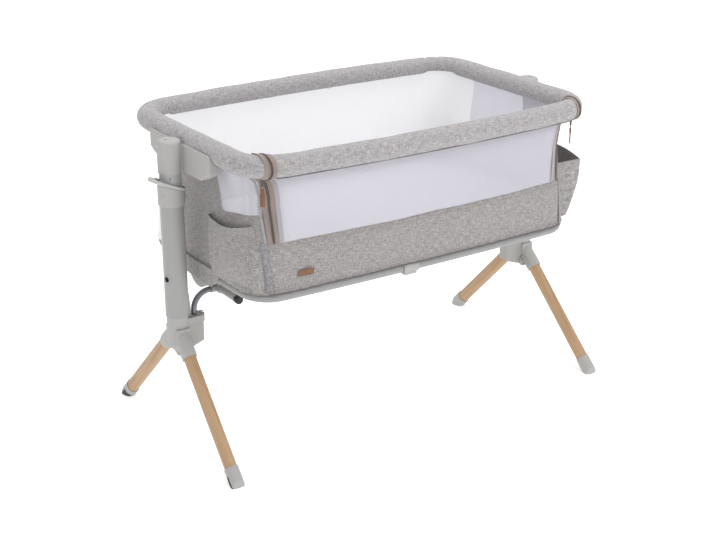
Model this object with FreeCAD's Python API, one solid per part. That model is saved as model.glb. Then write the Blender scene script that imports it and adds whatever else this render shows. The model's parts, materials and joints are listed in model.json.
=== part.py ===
import FreeCAD
import Part
import math
import os

# Bedside sleeper crib on two height-adjustable stands.
# Millimetres.  +X runs along the length, -Y is the side that faces the bed,
# +Z is up and Z = 0 is the floor under the middle of the crib.

V = FreeCAD.Vector
X_AXIS = V(1, 0, 0)
Y_AXIS = V(0, 1, 0)
Z_AXIS = V(0, 0, 1)
ORIGIN = V(0, 0, 0)
HALF_SPAN = 600.0            # further out than any piece
ABOVE = 900.0                # higher than any piece

# ---------------------------------------------------------------- sizes
# padded rail that runs round the top
RAIL_Z = 663.0
RAIL_HALF_LENGTH = 424.0
RAIL_HALF_WIDTH = 274.0
RAIL_BOW_LONG = 21.0
RAIL_BOW_SHORT = 6.0
RAIL_CORNER = 78.0
PADDING_RADIUS = 23.5
RAIL_TUBE_RADIUS = 9.5
RAIL_TUBE_WALL = 1.5
ZIP_X = 391.0                # where the gate's rail meets the fixed rail
ZIP_GAP = 1.0

# cloth basket, as plans at six heights
CLOTH = 2.4
CLOTH_TOP_Z = 656.0
HINGE_Z = 497.0              # bottom edge of the gate
GATE_GAP = 0.8
HEM_Z = 391.0
WALL_LEVELS = (
    # z, half length, half width, bow long, bow short, corner
    (CLOTH_TOP_Z, 405.5, 255.5, 20.5, 6.0, 66.0),
    (640.0, 408.0, 258.0, 20.0, 6.0, 75.0),
    (575.0, 401.0, 252.0, 19.0, 5.0, 73.0),
    (HINGE_Z, 407.0, 250.0, 15.0, 5.0, 67.0),
    (444.0, 413.5, 250.2, 12.0, 5.0, 65.0),
    (HEM_Z, 420.0, 250.5, 9.0, 5.0, 63.0),
)
GATE_EDGE = (                # height and half width of the gate's cloth
    (HINGE_Z, 366.0),
    (590.0, 371.5),
    (622.0, 377.5),
)
GATE_EDGE_TOP = 641.0        # above this the side edges are upright
FRONT_HALF_TOP = 391.5       # front panel's seams with the end panels
FRONT_HALF_BOTTOM = 386.0
END_SEAM_Y = 118.0           # back edge of the end panels
WINDOW_BACK = (-58.0, -84.0)     # Y of the end window's back edge, top and bottom
WINDOW_LOW = (531.0, 563.0)      # Z of its lower edge, at the back and at the front
WINDOW_FRONT_Y = -262.0
WINDOW_CORNER = 16.0
TONGUE_HALF_TOP = 96.0       # middle of the end panel, over the end bracket
TONGUE_HALF_BOTTOM = 60.0
TONGUE_Z = 360.0
TAPE = 1.4
TAPE_WIDTH = 10.0
TAPE_BACK_Y = -214.0         # the tape round the rail ends before the end rail

# floor frame, board and mattress
FRAME_Z = 381.0
FRAME_HALF_LENGTH = 410.0
FRAME_HALF_WIDTH = 240.5
FRAME_BOW_LONG = 9.0
FRAME_BOW_SHORT = 5.0
FRAME_CORNER = 60.0
FRAME_RADIUS = 9.0
FRAME_WALL = 1.5
COUPLING_X = -42.0
COUPLING_LENGTH = 38.0
COUPLING_RADIUS = 12.0
COUPLING_FOOT = 7.0
CROSS_TUBE_X = 205.0
CROSS_TUBE_RADIUS = 7.0
BRACKET_HALF_WIDTH = 44.0
BRACKET_DROP = 40.0
BRACKET_DEPTH = 40.0
BOARD_THICKNESS = 4.0
BOARD_MARGIN = 4.0
MATTRESS_THICKNESS = 50.0
MATTRESS_CROWN = 9.0
MATTRESS_GAP = 12.0
MATTRESS_EDGE = 8.0

# telescopic column at each end
COLUMN_X = 472.0
COLUMN_BOTTOM = 288.0
COLUMN_TOP = 556.0
COLUMN_RADIUS = 24.8
COLUMN_WALL = 1.6
INNER_RADIUS = 22.8
INNER_WALL = 1.8
INNER_BOTTOM = 322.0
INNER_TOP = 646.0
LEVEL_PITCH = 16.0
LEVEL_COUNT = 11
LEVEL_TOP_Z = 560.0
LEVEL_HOLE_RADIUS = 3.4
SIGHT_HOLE_Z = 375.0
SIGHT_HOLE_RADIUS = 6.2
SIGHT_RIM_RADIUS = 8.6
SIGHT_RIM_PROUD = 0.9
SIGHT_TURN = 17.0            # from straight out, towards the gate, degrees

# collar, release lever and lock pin at the top of the column
COLLAR_BOTTOM = 534.0
COLLAR_RADIUS = 28.0
LEVER_TILT = 22.0            # rises towards the outside, degrees
LEVER_X = 444.0              # inner end of the lever plate's middle plane
LEVER_Z = 565.0
LEVER_THICKNESS = 6.5
LEVER_BEVEL = 1.2
LEVER_LIFT = 8.0
LEVER_CLEARANCE = 3.0        # round the inner tube
LEVER_REACH = 82.0
LEVER_HALF_WIDTH = 29.5
LEVER_TIP_HALF_WIDTH = 21.0
PIVOT_X = 444.5
PIVOT_Z = 549.0
PIVOT_RADIUS = 1.1
BARREL_RADIUS = 2.6
LEG_PLATE = 3.0              # thickness of the lever's inner leg
PIN_RADIUS = 2.5
PIN_HEAD_RADIUS = 3.6
PIN_CLEARANCE = 0.5
PIN_HEAD_ROOM = 1.0          # round the head in the lever

# head bracket on the end rail
HEAD_BOTTOM = 604.0
HEAD_TOP = 664.0
HEAD_CAP_Z = 653.0
HEAD_CAP_TOP = 673.0
HEAD_CAP_EDGE = 7.0
HEAD_RADIUS = 24.8
PLATE_HALF_WIDTH = 131.0
PLATE_OUTER_X = 452.0
PLATE_INNER_X = 430.0

# hub, legs and feet
APEX_Z = 259.5
LEG_ANGLE = 45.3             # from the upright, in the plane of the legs
LEG_SPLAY = 2.4              # lean of that plane, outwards
LEG_HALF_THICK = 13.0
LEG_HALF_DEEP = 15.5
LEG_START = 30.0
LEG_END = 343.0
SOCKET_END = 75.0
SOCKET_WALL = 3.4
FOOT_CAP_START = 327.0
FOOT_CAP_WALL = 1.8
FOOT_REACH_Y = 268.0         # outer face of a foot
FOOT_ROUND = 34.0
PAD_DEPTH = 2.6
PAD_START = 344.0

# rest arm and rest bar under the basket's end
ARM_RADIUS = 6.3
ARM_X = 433.0
ARM_BEND = 38.0
ARM_FOOT_Z = 234.0
ARM_BEND_Z = 290.0
BAR_X = 371.0
BAR_Z = ARM_BEND_Z + ARM_BEND
BAR_RADIUS = 8.5
BAR_WALL = 1.5
BAR_SLEEVE = 2.2
BAR_HALF = 80.0
BAR_CAP_LENGTH = 12.0

# pocket on each end wall: height, front and back edge, how far each stands out, bow
POCKET_CLOTH = 2.0
POCKET_TUCK = 6.0            # how far the outline reaches into the wall
LEFT_POCKET = (
    (396.0, -228.0, -78.0, 6.0, 4.0, 6.0),
    (450.0, -222.0, -62.0, 16.0, 9.0, 14.0),
    (548.0, -190.0, -32.0, 26.0, 14.0, 20.0),
)
RIGHT_POCKET = (
    (396.0, -206.0, -78.0, 12.0, 5.0, 6.0),
    (450.0, -204.0, -62.0, 44.0, 12.0, 12.0),
    (548.0, -200.0, -32.0, 76.0, 20.0, 18.0),
)
LEFT_MOUTH = ((-40.0, 513.0), (-130.0, 513.0), (-235.0, 546.0))
RIGHT_MOUTH = ((-40.0, 545.0), (-130.0, 538.0), (-235.0, 514.0))

# zip sliders and their pulls
SLIDER_X = 395.0             # under the rail, where the zip's two halves part
SLIDER_Y = -241.0
SLIDER_Z = 637.4
SLIDER_TURN = -52.0          # faces out from the corner, degrees
SLIDER_WIDTH = 8.0
SLIDER_LENGTH = 9.8
SLIDER_DEPTH = 4.6
BAIL_WIDTH = 1.8
BAIL_WALL = 1.0
BAIL_OPENING = 2.9
RING_RADIUS = 4.2
RING_WIRE = 0.8


# ---------------------------------------------------------------- helpers
def box(x0, x1, y0, y1, z0, z1):
    return Part.makeBox(x1 - x0, y1 - y0, z1 - z0, V(x0, y0, z0))


def across(y_half, x0, x1, z0, z1):
    """Box that is centred on the plane Y = 0."""
    return box(x0, x1, -y_half, y_half, z0, z1)


def rod(radius, start, end):
    axis = end - start
    return Part.makeCylinder(radius, axis.Length, start, axis)


def upright(radius, z0, z1):
    """Round bar on the left column's axis."""
    return rod(radius, V(-COLUMN_X, 0, z0), V(-COLUMN_X, 0, z1))


def prism_xz(points, y0, y1):
    wire = Part.makePolygon([V(x, y0, z) for x, z in points + points[:1]])
    return Part.Face(wire).extrude(V(0, y1 - y0, 0))


def fuse(shapes):
    whole = shapes[0]
    if len(shapes) > 1:
        whole = whole.multiFuse(shapes[1:])
    return whole.removeSplitter()


def other_end(shape):
    """The same piece at the crib's other end."""
    return shape.mirror(ORIGIN, X_AXIS)


def other_side(shape):
    """The same piece on the other side of the plane Y = 0."""
    return shape.mirror(ORIGIN, Y_AXIS)


def arc(start, middle, end):
    return Part.Arc(start, middle, end).toShape()


def unit_from(centre, point):
    return (point - centre).normalize()


def turned(shape, centre, axis, angle):
    copy = shape.copy()
    copy.rotate(centre, axis, angle)
    return copy


class Plan:
    """A rounded rectangle with slightly bowed sides, seen from above."""

    def __init__(self, half_length, half_width, bow_long, bow_short, corner):
        self.half_length = half_length
        self.half_width = half_width
        self.corner = corner
        self.long_radius = (half_length ** 2 + bow_long ** 2) / (2 * bow_long)
        self.short_radius = (half_width ** 2 + bow_short ** 2) / (2 * bow_short)
        self.front_centre = V(0, self.long_radius - half_width, 0)
        self.right_centre = V(half_length - self.short_radius, 0, 0)
        self.corner_centre = self.find_corner_centre()

    def find_corner_centre(self):
        """Centre of the circle that touches the front and the right arc."""
        near = self.long_radius - self.corner
        far = self.short_radius - self.corner
        span = self.right_centre - self.front_centre
        along = (near ** 2 - far ** 2 + span.Length ** 2) / (2 * span.Length)
        aside = math.sqrt(near ** 2 - along ** 2)
        direction = V(span).normalize()
        square = V(direction.y, -direction.x, 0)
        foot = self.front_centre + direction * along
        choices = [foot + square * aside, foot - square * aside]
        return max(choices, key=lambda point: point.x - point.y)

    def arcs(self, z, offset=0.0):
        """Eight (start, middle, end, centre) arcs, from the front, eastwards."""
        to_front = unit_from(self.front_centre, self.corner_centre)
        to_right = unit_from(self.right_centre, self.corner_centre)
        front_end = self.front_centre + to_front * (self.long_radius + offset)
        right_end = self.right_centre + to_right * (self.short_radius + offset)
        bisector = (to_front + to_right).normalize()
        corner_middle = self.corner_centre + bisector * (self.corner + offset)
        front_middle = V(0, -self.half_width - offset, 0)
        right_middle = V(self.half_length + offset, 0, 0)

        def at(point, flip_x, flip_y):
            return V(point.x * flip_x, point.y * flip_y, z)

        def long_arc(flip):
            return (at(front_end, -flip, flip), at(front_middle, 1, flip),
                    at(front_end, flip, flip), at(self.front_centre, 1, flip))

        def short_arc(flip):
            return (at(right_end, flip, flip), at(right_middle, flip, 1),
                    at(right_end, flip, -flip), at(self.right_centre, flip, 1))

        def corner_arc(flip_x, flip_y):
            ends = [at(front_end, flip_x, flip_y), at(right_end, flip_x, flip_y)]
            if flip_x != flip_y:
                ends.reverse()
            middle = at(corner_middle, flip_x, flip_y)
            return ends[0], middle, ends[1], at(self.corner_centre, flip_x, flip_y)

        return [long_arc(1), corner_arc(1, 1), short_arc(1), corner_arc(1, -1),
                long_arc(-1), corner_arc(-1, -1), short_arc(-1), corner_arc(-1, 1)]

    def wire(self, z, offset=0.0):
        return Part.Wire([arc(a, b, c) for a, b, c, centre in self.arcs(z, offset)])

    def ring(self, z, outer, inner=0.0):
        """A round bar or tube bent along the plan's line."""
        pieces = []
        for start, middle, end, centre in self.arcs(z):
            radial = unit_from(centre, start)
            tangent = Z_AXIS.cross(radial)
            face = Part.Face(Part.Wire(Part.makeCircle(outer, start, tangent)))
            if inner:
                bore = Part.Face(Part.Wire(Part.makeCircle(inner, start, tangent)))
                face = face.cut(bore)
            turn = math.degrees(radial.getAngle(unit_from(centre, end)))
            pieces.append(face.revolve(centre, Z_AXIS, turn))
        return fuse(pieces)

    def slab(self, z0, z1, offset=0.0):
        return Part.Face(self.wire(z0, offset)).extrude(V(0, 0, z1 - z0))


RAIL = Plan(RAIL_HALF_LENGTH, RAIL_HALF_WIDTH, RAIL_BOW_LONG, RAIL_BOW_SHORT, RAIL_CORNER)
FRAME = Plan(FRAME_HALF_LENGTH, FRAME_HALF_WIDTH, FRAME_BOW_LONG, FRAME_BOW_SHORT,
             FRAME_CORNER)
WALLS = [(level[0], Plan(*level[1:])) for level in WALL_LEVELS]


def wall_block(offset):
    """The space inside the basket's walls, or just outside with an offset."""
    wires = [plan.wire(z, offset) for z, plan in WALLS]
    return Part.makeLoft(wires, True, False)


def surface_point(block, start, end):
    """First point of a solid on the way from start to end."""
    inside = Part.makeLine(start, end).common(block)
    return min((vertex.Point for vertex in inside.Vertexes),
               key=lambda point: point.distanceToPoint(start))


# ---------------------------------------------------------------- rail
def gate_span(reach):
    """The stretch of rail that belongs to the gate."""
    return box(-reach, reach, -400, -100, RAIL_Z - 60, RAIL_Z + 60)


def rails():
    padding = RAIL.ring(RAIL_Z, PADDING_RADIUS, RAIL_TUBE_RADIUS)
    steel = RAIL.ring(RAIL_Z, RAIL_TUBE_RADIUS, RAIL_TUBE_RADIUS - RAIL_TUBE_WALL)
    keep = gate_span(ZIP_X - ZIP_GAP / 2)
    clear = gate_span(ZIP_X + ZIP_GAP / 2)
    return {
        "upper_rail_padding": padding.cut(clear),
        "upper_rail_tube": steel.cut(clear),
        "gate_rail_padding": padding.common(keep),
        "gate_rail_tube": steel.common(keep),
    }


# ---------------------------------------------------------------- cloth walls
def gate_prism(grow):
    """Prism over the gate's cloth, which narrows towards the hinge."""
    top = ZIP_X - ZIP_GAP / 2 + grow
    right = [(half + grow, z) for z, half in GATE_EDGE] + [(top, GATE_EDGE_TOP), (top, ABOVE)]
    right[0] = (right[0][0], HINGE_Z - grow)
    left = [(-x, z) for x, z in reversed(right)]
    return prism_xz(right + left, -400, -100)


def window_prism(x0, x1):
    """Prism along X over an end window, its lower back corner rounded."""
    top = CLOTH_TOP_Z + 10
    upper_back = V(x0, WINDOW_BACK[0], top)
    corner = V(x0, WINDOW_BACK[1], WINDOW_LOW[0])
    lower_front = V(x0, WINDOW_FRONT_Y, WINDOW_LOW[1])
    upper_front = V(x0, WINDOW_FRONT_Y, top)
    up = unit_from(corner, upper_back)
    forward = unit_from(corner, lower_front)
    curve_start = corner + up * WINDOW_CORNER
    curve_end = corner + forward * WINDOW_CORNER
    curve_middle = corner + (up + forward) * (WINDOW_CORNER * (1 - math.sqrt(0.5)))
    edges = [
        Part.makeLine(upper_back, curve_start),
        arc(curve_start, curve_middle, curve_end),
        Part.makeLine(curve_end, lower_front),
        Part.makeLine(lower_front, upper_front),
        Part.makeLine(upper_front, upper_back),
    ]
    return Part.Face(Part.Wire(edges)).extrude(V(x1 - x0, 0, 0))


def end_tongue():
    """The end panel's middle, which hangs over the frame's end bracket."""
    x = -FRAME_HALF_LENGTH - FRAME_RADIUS - 0.4
    top = HEM_Z + 10
    points = [V(x, -TONGUE_HALF_TOP, top), V(x, -TONGUE_HALF_TOP, HEM_Z),
              V(x, -TONGUE_HALF_BOTTOM, TONGUE_Z), V(x, TONGUE_HALF_BOTTOM, TONGUE_Z),
              V(x, TONGUE_HALF_TOP, HEM_Z), V(x, TONGUE_HALF_TOP, top)]
    return Part.Face(Part.makePolygon(points + points[:1])).extrude(V(-CLOTH, 0, 0))


def walls(skin):
    low = HEM_Z - 1
    front = prism_xz([(-FRONT_HALF_BOTTOM, low), (FRONT_HALF_BOTTOM, low),
                      (FRONT_HALF_TOP, HINGE_Z), (-FRONT_HALF_TOP, HINGE_Z)], -400, -100)
    back = box(-HALF_SPAN, HALF_SPAN, END_SEAM_Y, HALF_SPAN, 0, ABOVE)
    left_half = box(-HALF_SPAN, -100, -HALF_SPAN, HALF_SPAN, 0, ABOVE)
    fixed = skin.cut(gate_prism(GATE_GAP)).cut(back)
    window = window_prism(-HALF_SPAN, -300)
    left = fixed.common(left_half).cut(front)
    left_panel = fuse([left.cut(window), end_tongue()])
    left_window = left.common(window)
    return {
        "gate_window": skin.common(gate_prism(0.0)),
        "front_panel": fixed.common(front),
        "back_panel": skin.common(back),
        "left_end_panel": left_panel,
        "right_end_panel": other_end(left_panel),
        "left_end_window": left_window,
        "right_end_window": other_end(left_window),
    }


def zip_tapes(padding, block, skin):
    """Tape halves beside the gate's edge and round the ends of the rails."""
    layer = wall_block(TAPE).cut(block).cut(padding)
    layer = layer.common(box(-HALF_SPAN, HALF_SPAN, -HALF_SPAN, 0, HINGE_Z + 1, ABOVE))
    fixed = layer.common(gate_prism(TAPE_WIDTH + GATE_GAP).cut(gate_prism(GATE_GAP)))
    moving = layer.common(gate_prism(0.0).cut(gate_prism(-TAPE_WIDTH)))
    moving = moving.cut(box(-340, 340, -400, 0, 0, ABOVE))
    sleeve = RAIL.ring(RAIL_Z, PADDING_RADIUS + TAPE, PADDING_RADIUS).cut(skin)
    sleeve = sleeve.common(box(-HALF_SPAN, HALF_SPAN, -400, TAPE_BACK_Y, 0, ABOVE))
    near = ZIP_X - ZIP_GAP / 2
    far = ZIP_X + ZIP_GAP / 2
    fixed_ring = sleeve.common(gate_span(far + TAPE_WIDTH).cut(gate_span(far)))
    moving_ring = sleeve.common(gate_span(near).cut(gate_span(near - TAPE_WIDTH)))
    left_half = box(-HALF_SPAN, 0, -HALF_SPAN, HALF_SPAN, 0, ABOVE)
    left_tape = fuse([fixed.common(left_half), fixed_ring.common(left_half)])
    return {
        "left_zip_tape": left_tape,
        "right_zip_tape": other_end(left_tape),
        "gate_zip_tapes": fuse([moving, moving_ring]),
    }


def pocket_outline(block, level, grow, rise):
    """Closed outline of a pocket at one height, with the cloth's thickness as grow."""
    z, front_y, back_y, front_depth, back_depth, bow = level
    z = z + rise
    front = surface_point(block, V(-HALF_SPAN, front_y, z), V(0, front_y, z))
    back = surface_point(block, V(-HALF_SPAN, back_y, z), V(0, back_y, z))
    front_seam = V(front.x + POCKET_TUCK, front_y - grow, z)
    front_fold = V(front.x - front_depth - grow, front_y - grow, z)
    back_fold = V(back.x - back_depth - grow, back_y + grow, z)
    back_seam = V(back.x + POCKET_TUCK, back_y + grow, z)
    middle = (front_fold + back_fold) / 2 - V(bow, 0, 0)
    return Part.Wire([Part.makeLine(front_seam, front_fold), arc(front_fold, middle, back_fold),
                      Part.makeLine(back_fold, back_seam), Part.makeLine(back_seam, front_seam)])


def pocket_lid(mouth):
    """Everything over the pocket's mouth."""
    curve = [V(-HALF_SPAN, y, z) for y, z in mouth]
    upper = [V(-HALF_SPAN, mouth[-1][0], ABOVE), V(-HALF_SPAN, 0, ABOVE),
             V(-HALF_SPAN, 0, mouth[0][1])]
    edges = [arc(*curve), Part.makeLine(curve[2], upper[0]), Part.makeLine(upper[0], upper[1]),
             Part.makeLine(upper[1], upper[2]), Part.makeLine(upper[2], curve[0])]
    return Part.Face(Part.Wire(edges)).extrude(V(HALF_SPAN, 0, 0))


def pocket(block, levels, mouth):
    """Gusseted cloth pocket on the front half of the left end wall."""
    outer = [pocket_outline(block, level, POCKET_CLOTH, 0.0) for level in levels]
    rises = [POCKET_CLOTH] + [0.0] * (len(levels) - 1)
    inner = [pocket_outline(block, level, 0.0, rise) for level, rise in zip(levels, rises)]
    body = Part.makeLoft(outer, True, False).cut(Part.makeLoft(inner, True, False))
    return body.cut(pocket_lid(mouth)).cut(block).cut(end_tongue())


# ---------------------------------------------------------------- floor
def coupling(side):
    """Moulded sleeve that joins the two halves of the floor frame."""
    y = side * FRAME_HALF_WIDTH
    half = COUPLING_LENGTH / 2
    start = V(COUPLING_X - half, y, FRAME_Z)
    end = V(COUPLING_X + half, y, FRAME_Z)
    foot = box(start.x + 4, end.x - 4, y - COUPLING_FOOT, y + COUPLING_FOOT,
               FRAME_Z - COUPLING_RADIUS - 3, FRAME_Z)
    return fuse([rod(COUPLING_RADIUS, start, end), foot])


def floor_frame():
    solid_ring = FRAME.ring(FRAME_Z, FRAME_RADIUS)
    ring = FRAME.ring(FRAME_Z, FRAME_RADIUS, FRAME_RADIUS - FRAME_WALL)
    joint = COUPLING_X
    left = ring.common(box(-HALF_SPAN, joint - 0.5, -HALF_SPAN, HALF_SPAN, 0, ABOVE))
    right = ring.common(box(joint + 0.5, HALF_SPAN, -HALF_SPAN, HALF_SPAN, 0, ABOVE))
    couplings = [coupling(side).cut(solid_ring) for side in (-1, 1)]
    cross_z = FRAME_Z + FRAME_RADIUS - CROSS_TUBE_RADIUS
    inside = FRAME.slab(FRAME_Z - 20, FRAME_Z + 20)
    cross = []
    for x in (-CROSS_TUBE_X, CROSS_TUBE_X):
        bar = rod(CROSS_TUBE_RADIUS, V(x, -HALF_SPAN, cross_z), V(x, HALF_SPAN, cross_z))
        cross.append(bar.common(inside).cut(solid_ring))
    return {
        "floor_frame_left": left,
        "floor_frame_right": right,
        "frame_couplings": Part.makeCompound(couplings),
        "floor_cross_tubes": Part.makeCompound(cross),
    }


def end_bracket():
    """Moulded pad under the end of the floor frame, over the rest arm."""
    x = -FRAME_HALF_LENGTH - FRAME_RADIUS
    half = BRACKET_HALF_WIDTH
    ends = V(x, -half, FRAME_Z), V(x, half, FRAME_Z)
    belly = arc(ends[0], V(x, 0, FRAME_Z - BRACKET_DROP), ends[1])
    face = Part.Face(Part.Wire([belly, Part.makeLine(ends[1], ends[0])]))
    pad = face.extrude(V(BRACKET_DEPTH, 0, 0))
    return pad.cut(FRAME.ring(FRAME_Z, FRAME_RADIUS))


def floor_and_mattress():
    board_z = FRAME_Z + FRAME_RADIUS
    base = board_z + BOARD_THICKNESS
    top = base + MATTRESS_THICKNESS
    plan = WALLS[-1][1]
    inset = -MATTRESS_GAP - CLOTH
    levels = ((base, inset - MATTRESS_EDGE), (base + MATTRESS_EDGE, inset),
              (top - MATTRESS_EDGE - 4, inset), (top, inset - MATTRESS_EDGE * 2))
    wires = [plan.wire(z, offset) for z, offset in levels]
    body = Part.makeLoft(wires, True, True)
    half_diagonal = math.hypot(FRAME_HALF_LENGTH, FRAME_HALF_WIDTH)
    dome = (half_diagonal ** 2 + MATTRESS_CROWN ** 2) / (2 * MATTRESS_CROWN)
    body = body.common(Part.makeSphere(dome, V(0, 0, top - dome)))
    board = FRAME.slab(board_z, base, BOARD_MARGIN)
    return {"floor_board": board, "mattress": body}


# ---------------------------------------------------------------- head
def head_cap(padding):
    """Domed plug on top of the head's post, with a small recess."""
    rim = HEAD_RADIUS
    edge = HEAD_CAP_EDGE
    top = HEAD_CAP_TOP
    foot = V(rim, 0, HEAD_CAP_Z)
    shoulder = V(rim, 0, top - edge)
    turn = V(rim - edge * 0.3, 0, top - edge * 0.3)
    crown = V(rim - edge, 0, top)
    profile = Part.Wire([
        Part.makeLine(V(0, 0, HEAD_CAP_Z), foot),
        Part.makeLine(foot, shoulder),
        arc(shoulder, turn, crown),
        Part.makeLine(crown, V(0, 0, top)),
        Part.makeLine(V(0, 0, top), V(0, 0, HEAD_CAP_Z)),
    ])
    cap = Part.Face(profile).revolve(ORIGIN, Z_AXIS, 360)
    cap = cap.cut(rod(4.0, V(-8, 0, top - 1.2), V(-8, 0, top + 1)))
    cap.translate(V(-COLUMN_X, 0, 0))
    return cap.cut(padding)


def head_bracket(padding):
    """Post on the column's axis and the plate that holds the end rail."""
    cut_y = 90.0
    points = [(-PLATE_HALF_WIDTH, HEAD_BOTTOM + 20), (-cut_y, HEAD_BOTTOM),
              (cut_y, HEAD_BOTTOM), (PLATE_HALF_WIDTH, HEAD_BOTTOM + 20),
              (PLATE_HALF_WIDTH, HEAD_TOP), (-PLATE_HALF_WIDTH, HEAD_TOP)]
    corners = [V(-PLATE_OUTER_X, y, z) for y, z in points + points[:1]]
    plate = Part.Face(Part.makePolygon(corners))
    plate = plate.extrude(V(PLATE_OUTER_X - PLATE_INNER_X, 0, 0))
    ends = [edge for edge in plate.Edges
            if abs(abs(edge.CenterOfMass.y) - PLATE_HALF_WIDTH) < 0.01
            and abs(edge.Vertexes[0].X - edge.Vertexes[-1].X) > 1]
    plate = plate.makeFillet(9.0, ends)
    outline = [edge for edge in plate.Edges
               if all(abs(vertex.X + PLATE_OUTER_X) < 0.01 for vertex in edge.Vertexes)]
    plate = plate.makeFillet(5.0, outline)
    neck = across(19.0, -COLUMN_X, -PLATE_INNER_X, HEAD_BOTTOM, HEAD_TOP - 3)
    bracket = fuse([plate, upright(HEAD_RADIUS, HEAD_BOTTOM, HEAD_CAP_Z), neck])
    bracket = bracket.cut(padding)
    bracket = bracket.cut(upright(INNER_RADIUS, HEAD_BOTTOM - 1, INNER_TOP))
    return bracket.cut(upright(HEAD_RADIUS, HEAD_CAP_Z, ABOVE))


def inner_tube():
    body = upright(INNER_RADIUS, INNER_BOTTOM, INNER_TOP)
    body = body.cut(upright(INNER_RADIUS - INNER_WALL, INNER_BOTTOM - 1, INNER_TOP + 1))
    for level in range(LEVEL_COUNT):
        z = LEVEL_TOP_Z - level * LEVEL_PITCH
        drill = rod(LEVEL_HOLE_RADIUS, V(-COLUMN_X, 0, z), V(-COLUMN_X + 30, 0, z))
        body = body.cut(drill)
    return body


# ---------------------------------------------------------------- column
def column():
    shaft = upright(COLUMN_RADIUS, COLUMN_BOTTOM, COLUMN_TOP)
    rim = upright(COLUMN_RADIUS + SIGHT_RIM_PROUD, SIGHT_HOLE_Z - 15, SIGHT_HOLE_Z + 15)
    outwards = turned(Part.Vertex(V(-40, 0, 0)), ORIGIN, Z_AXIS, SIGHT_TURN).Point
    inside = V(-COLUMN_X, 0, SIGHT_HOLE_Z)
    outside = inside + outwards
    rim = rim.common(rod(SIGHT_RIM_RADIUS, outside, inside))
    shaft = fuse([shaft, rim])
    shaft = shaft.cut(upright(COLUMN_RADIUS - COLUMN_WALL, 0, ABOVE))
    return shaft.cut(rod(SIGHT_HOLE_RADIUS, outside, inside))


def lever_frame(shape):
    """Put a shape drawn flat about the lever's inner end into its place."""
    placed = shape.copy()
    placed.rotate(ORIGIN, Y_AXIS, LEVER_TILT)
    placed.translate(V(-LEVER_X, 0, LEVER_Z))
    return placed


def lever_plate():
    """Rounded ring plate with a paddle, flat, its inner end at the origin."""
    low = -LEVER_THICKNESS / 2
    wide = LEVER_HALF_WIDTH
    tip = LEVER_TIP_HALF_WIDTH
    neck_x = -LEVER_REACH + 15
    side_x = -32.0
    near = V(side_x, -wide, low), V(2, 0, low), V(side_x, wide, low)
    far = V(neck_x, tip, low), V(-LEVER_REACH, 0, low), V(neck_x, -tip, low)
    outline = Part.Wire([arc(*near), Part.makeLine(near[2], far[0]), arc(*far),
                         Part.makeLine(far[2], near[0])])
    narrower = outline.makeOffset2D(-LEVER_BEVEL)
    levels = ((narrower, 0.0), (outline, LEVER_BEVEL),
              (outline, LEVER_THICKNESS - LEVER_BEVEL), (narrower, LEVER_THICKNESS))
    wires = [wire.translated(V(0, 0, rise)) for wire, rise in levels]
    return Part.makeLoft(wires, True, True)


def lever():
    """Release lever: plate, inner leg and the barrel that it turns on."""
    plate = lever_frame(lever_plate())
    pivot = V(-PIVOT_X, 0, PIVOT_Z)
    for turn in (0.0, -LEVER_LIFT / 2, -LEVER_LIFT):
        bore = upright(INNER_RADIUS + LEVER_CLEARANCE, 500, 700)
        plate = plate.cut(turned(bore, pivot, Y_AXIS, turn))
    leg_x = -PIVOT_X - LEG_PLATE / 2
    wide = across(5.5, leg_x, leg_x + LEG_PLATE, PIVOT_Z + 5, LEVER_Z + 1)
    narrow = across(2.8, leg_x, leg_x + LEG_PLATE, PIVOT_Z, PIVOT_Z + 5)
    barrel = rod(BARREL_RADIUS, V(-PIVOT_X, -2.8, PIVOT_Z), V(-PIVOT_X, 2.8, PIVOT_Z))
    body = fuse([plate, wide, narrow, barrel])
    eye = rod(PIVOT_RADIUS + 0.15, V(-PIVOT_X, -9, PIVOT_Z), V(-PIVOT_X, 9, PIVOT_Z))
    slot = rod(PIN_RADIUS + 0.8, V(-PIVOT_X - 9, 0, LEVEL_TOP_Z),
               V(-PIVOT_X + 9, 0, LEVEL_TOP_Z))
    head_seat = rod(PIN_HEAD_RADIUS + PIN_HEAD_ROOM, V(leg_x + LEG_PLATE, 0, LEVEL_TOP_Z),
                    V(-PIVOT_X + 9, 0, LEVEL_TOP_Z))
    return body.cut(eye).cut(slot).cut(head_seat)


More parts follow.
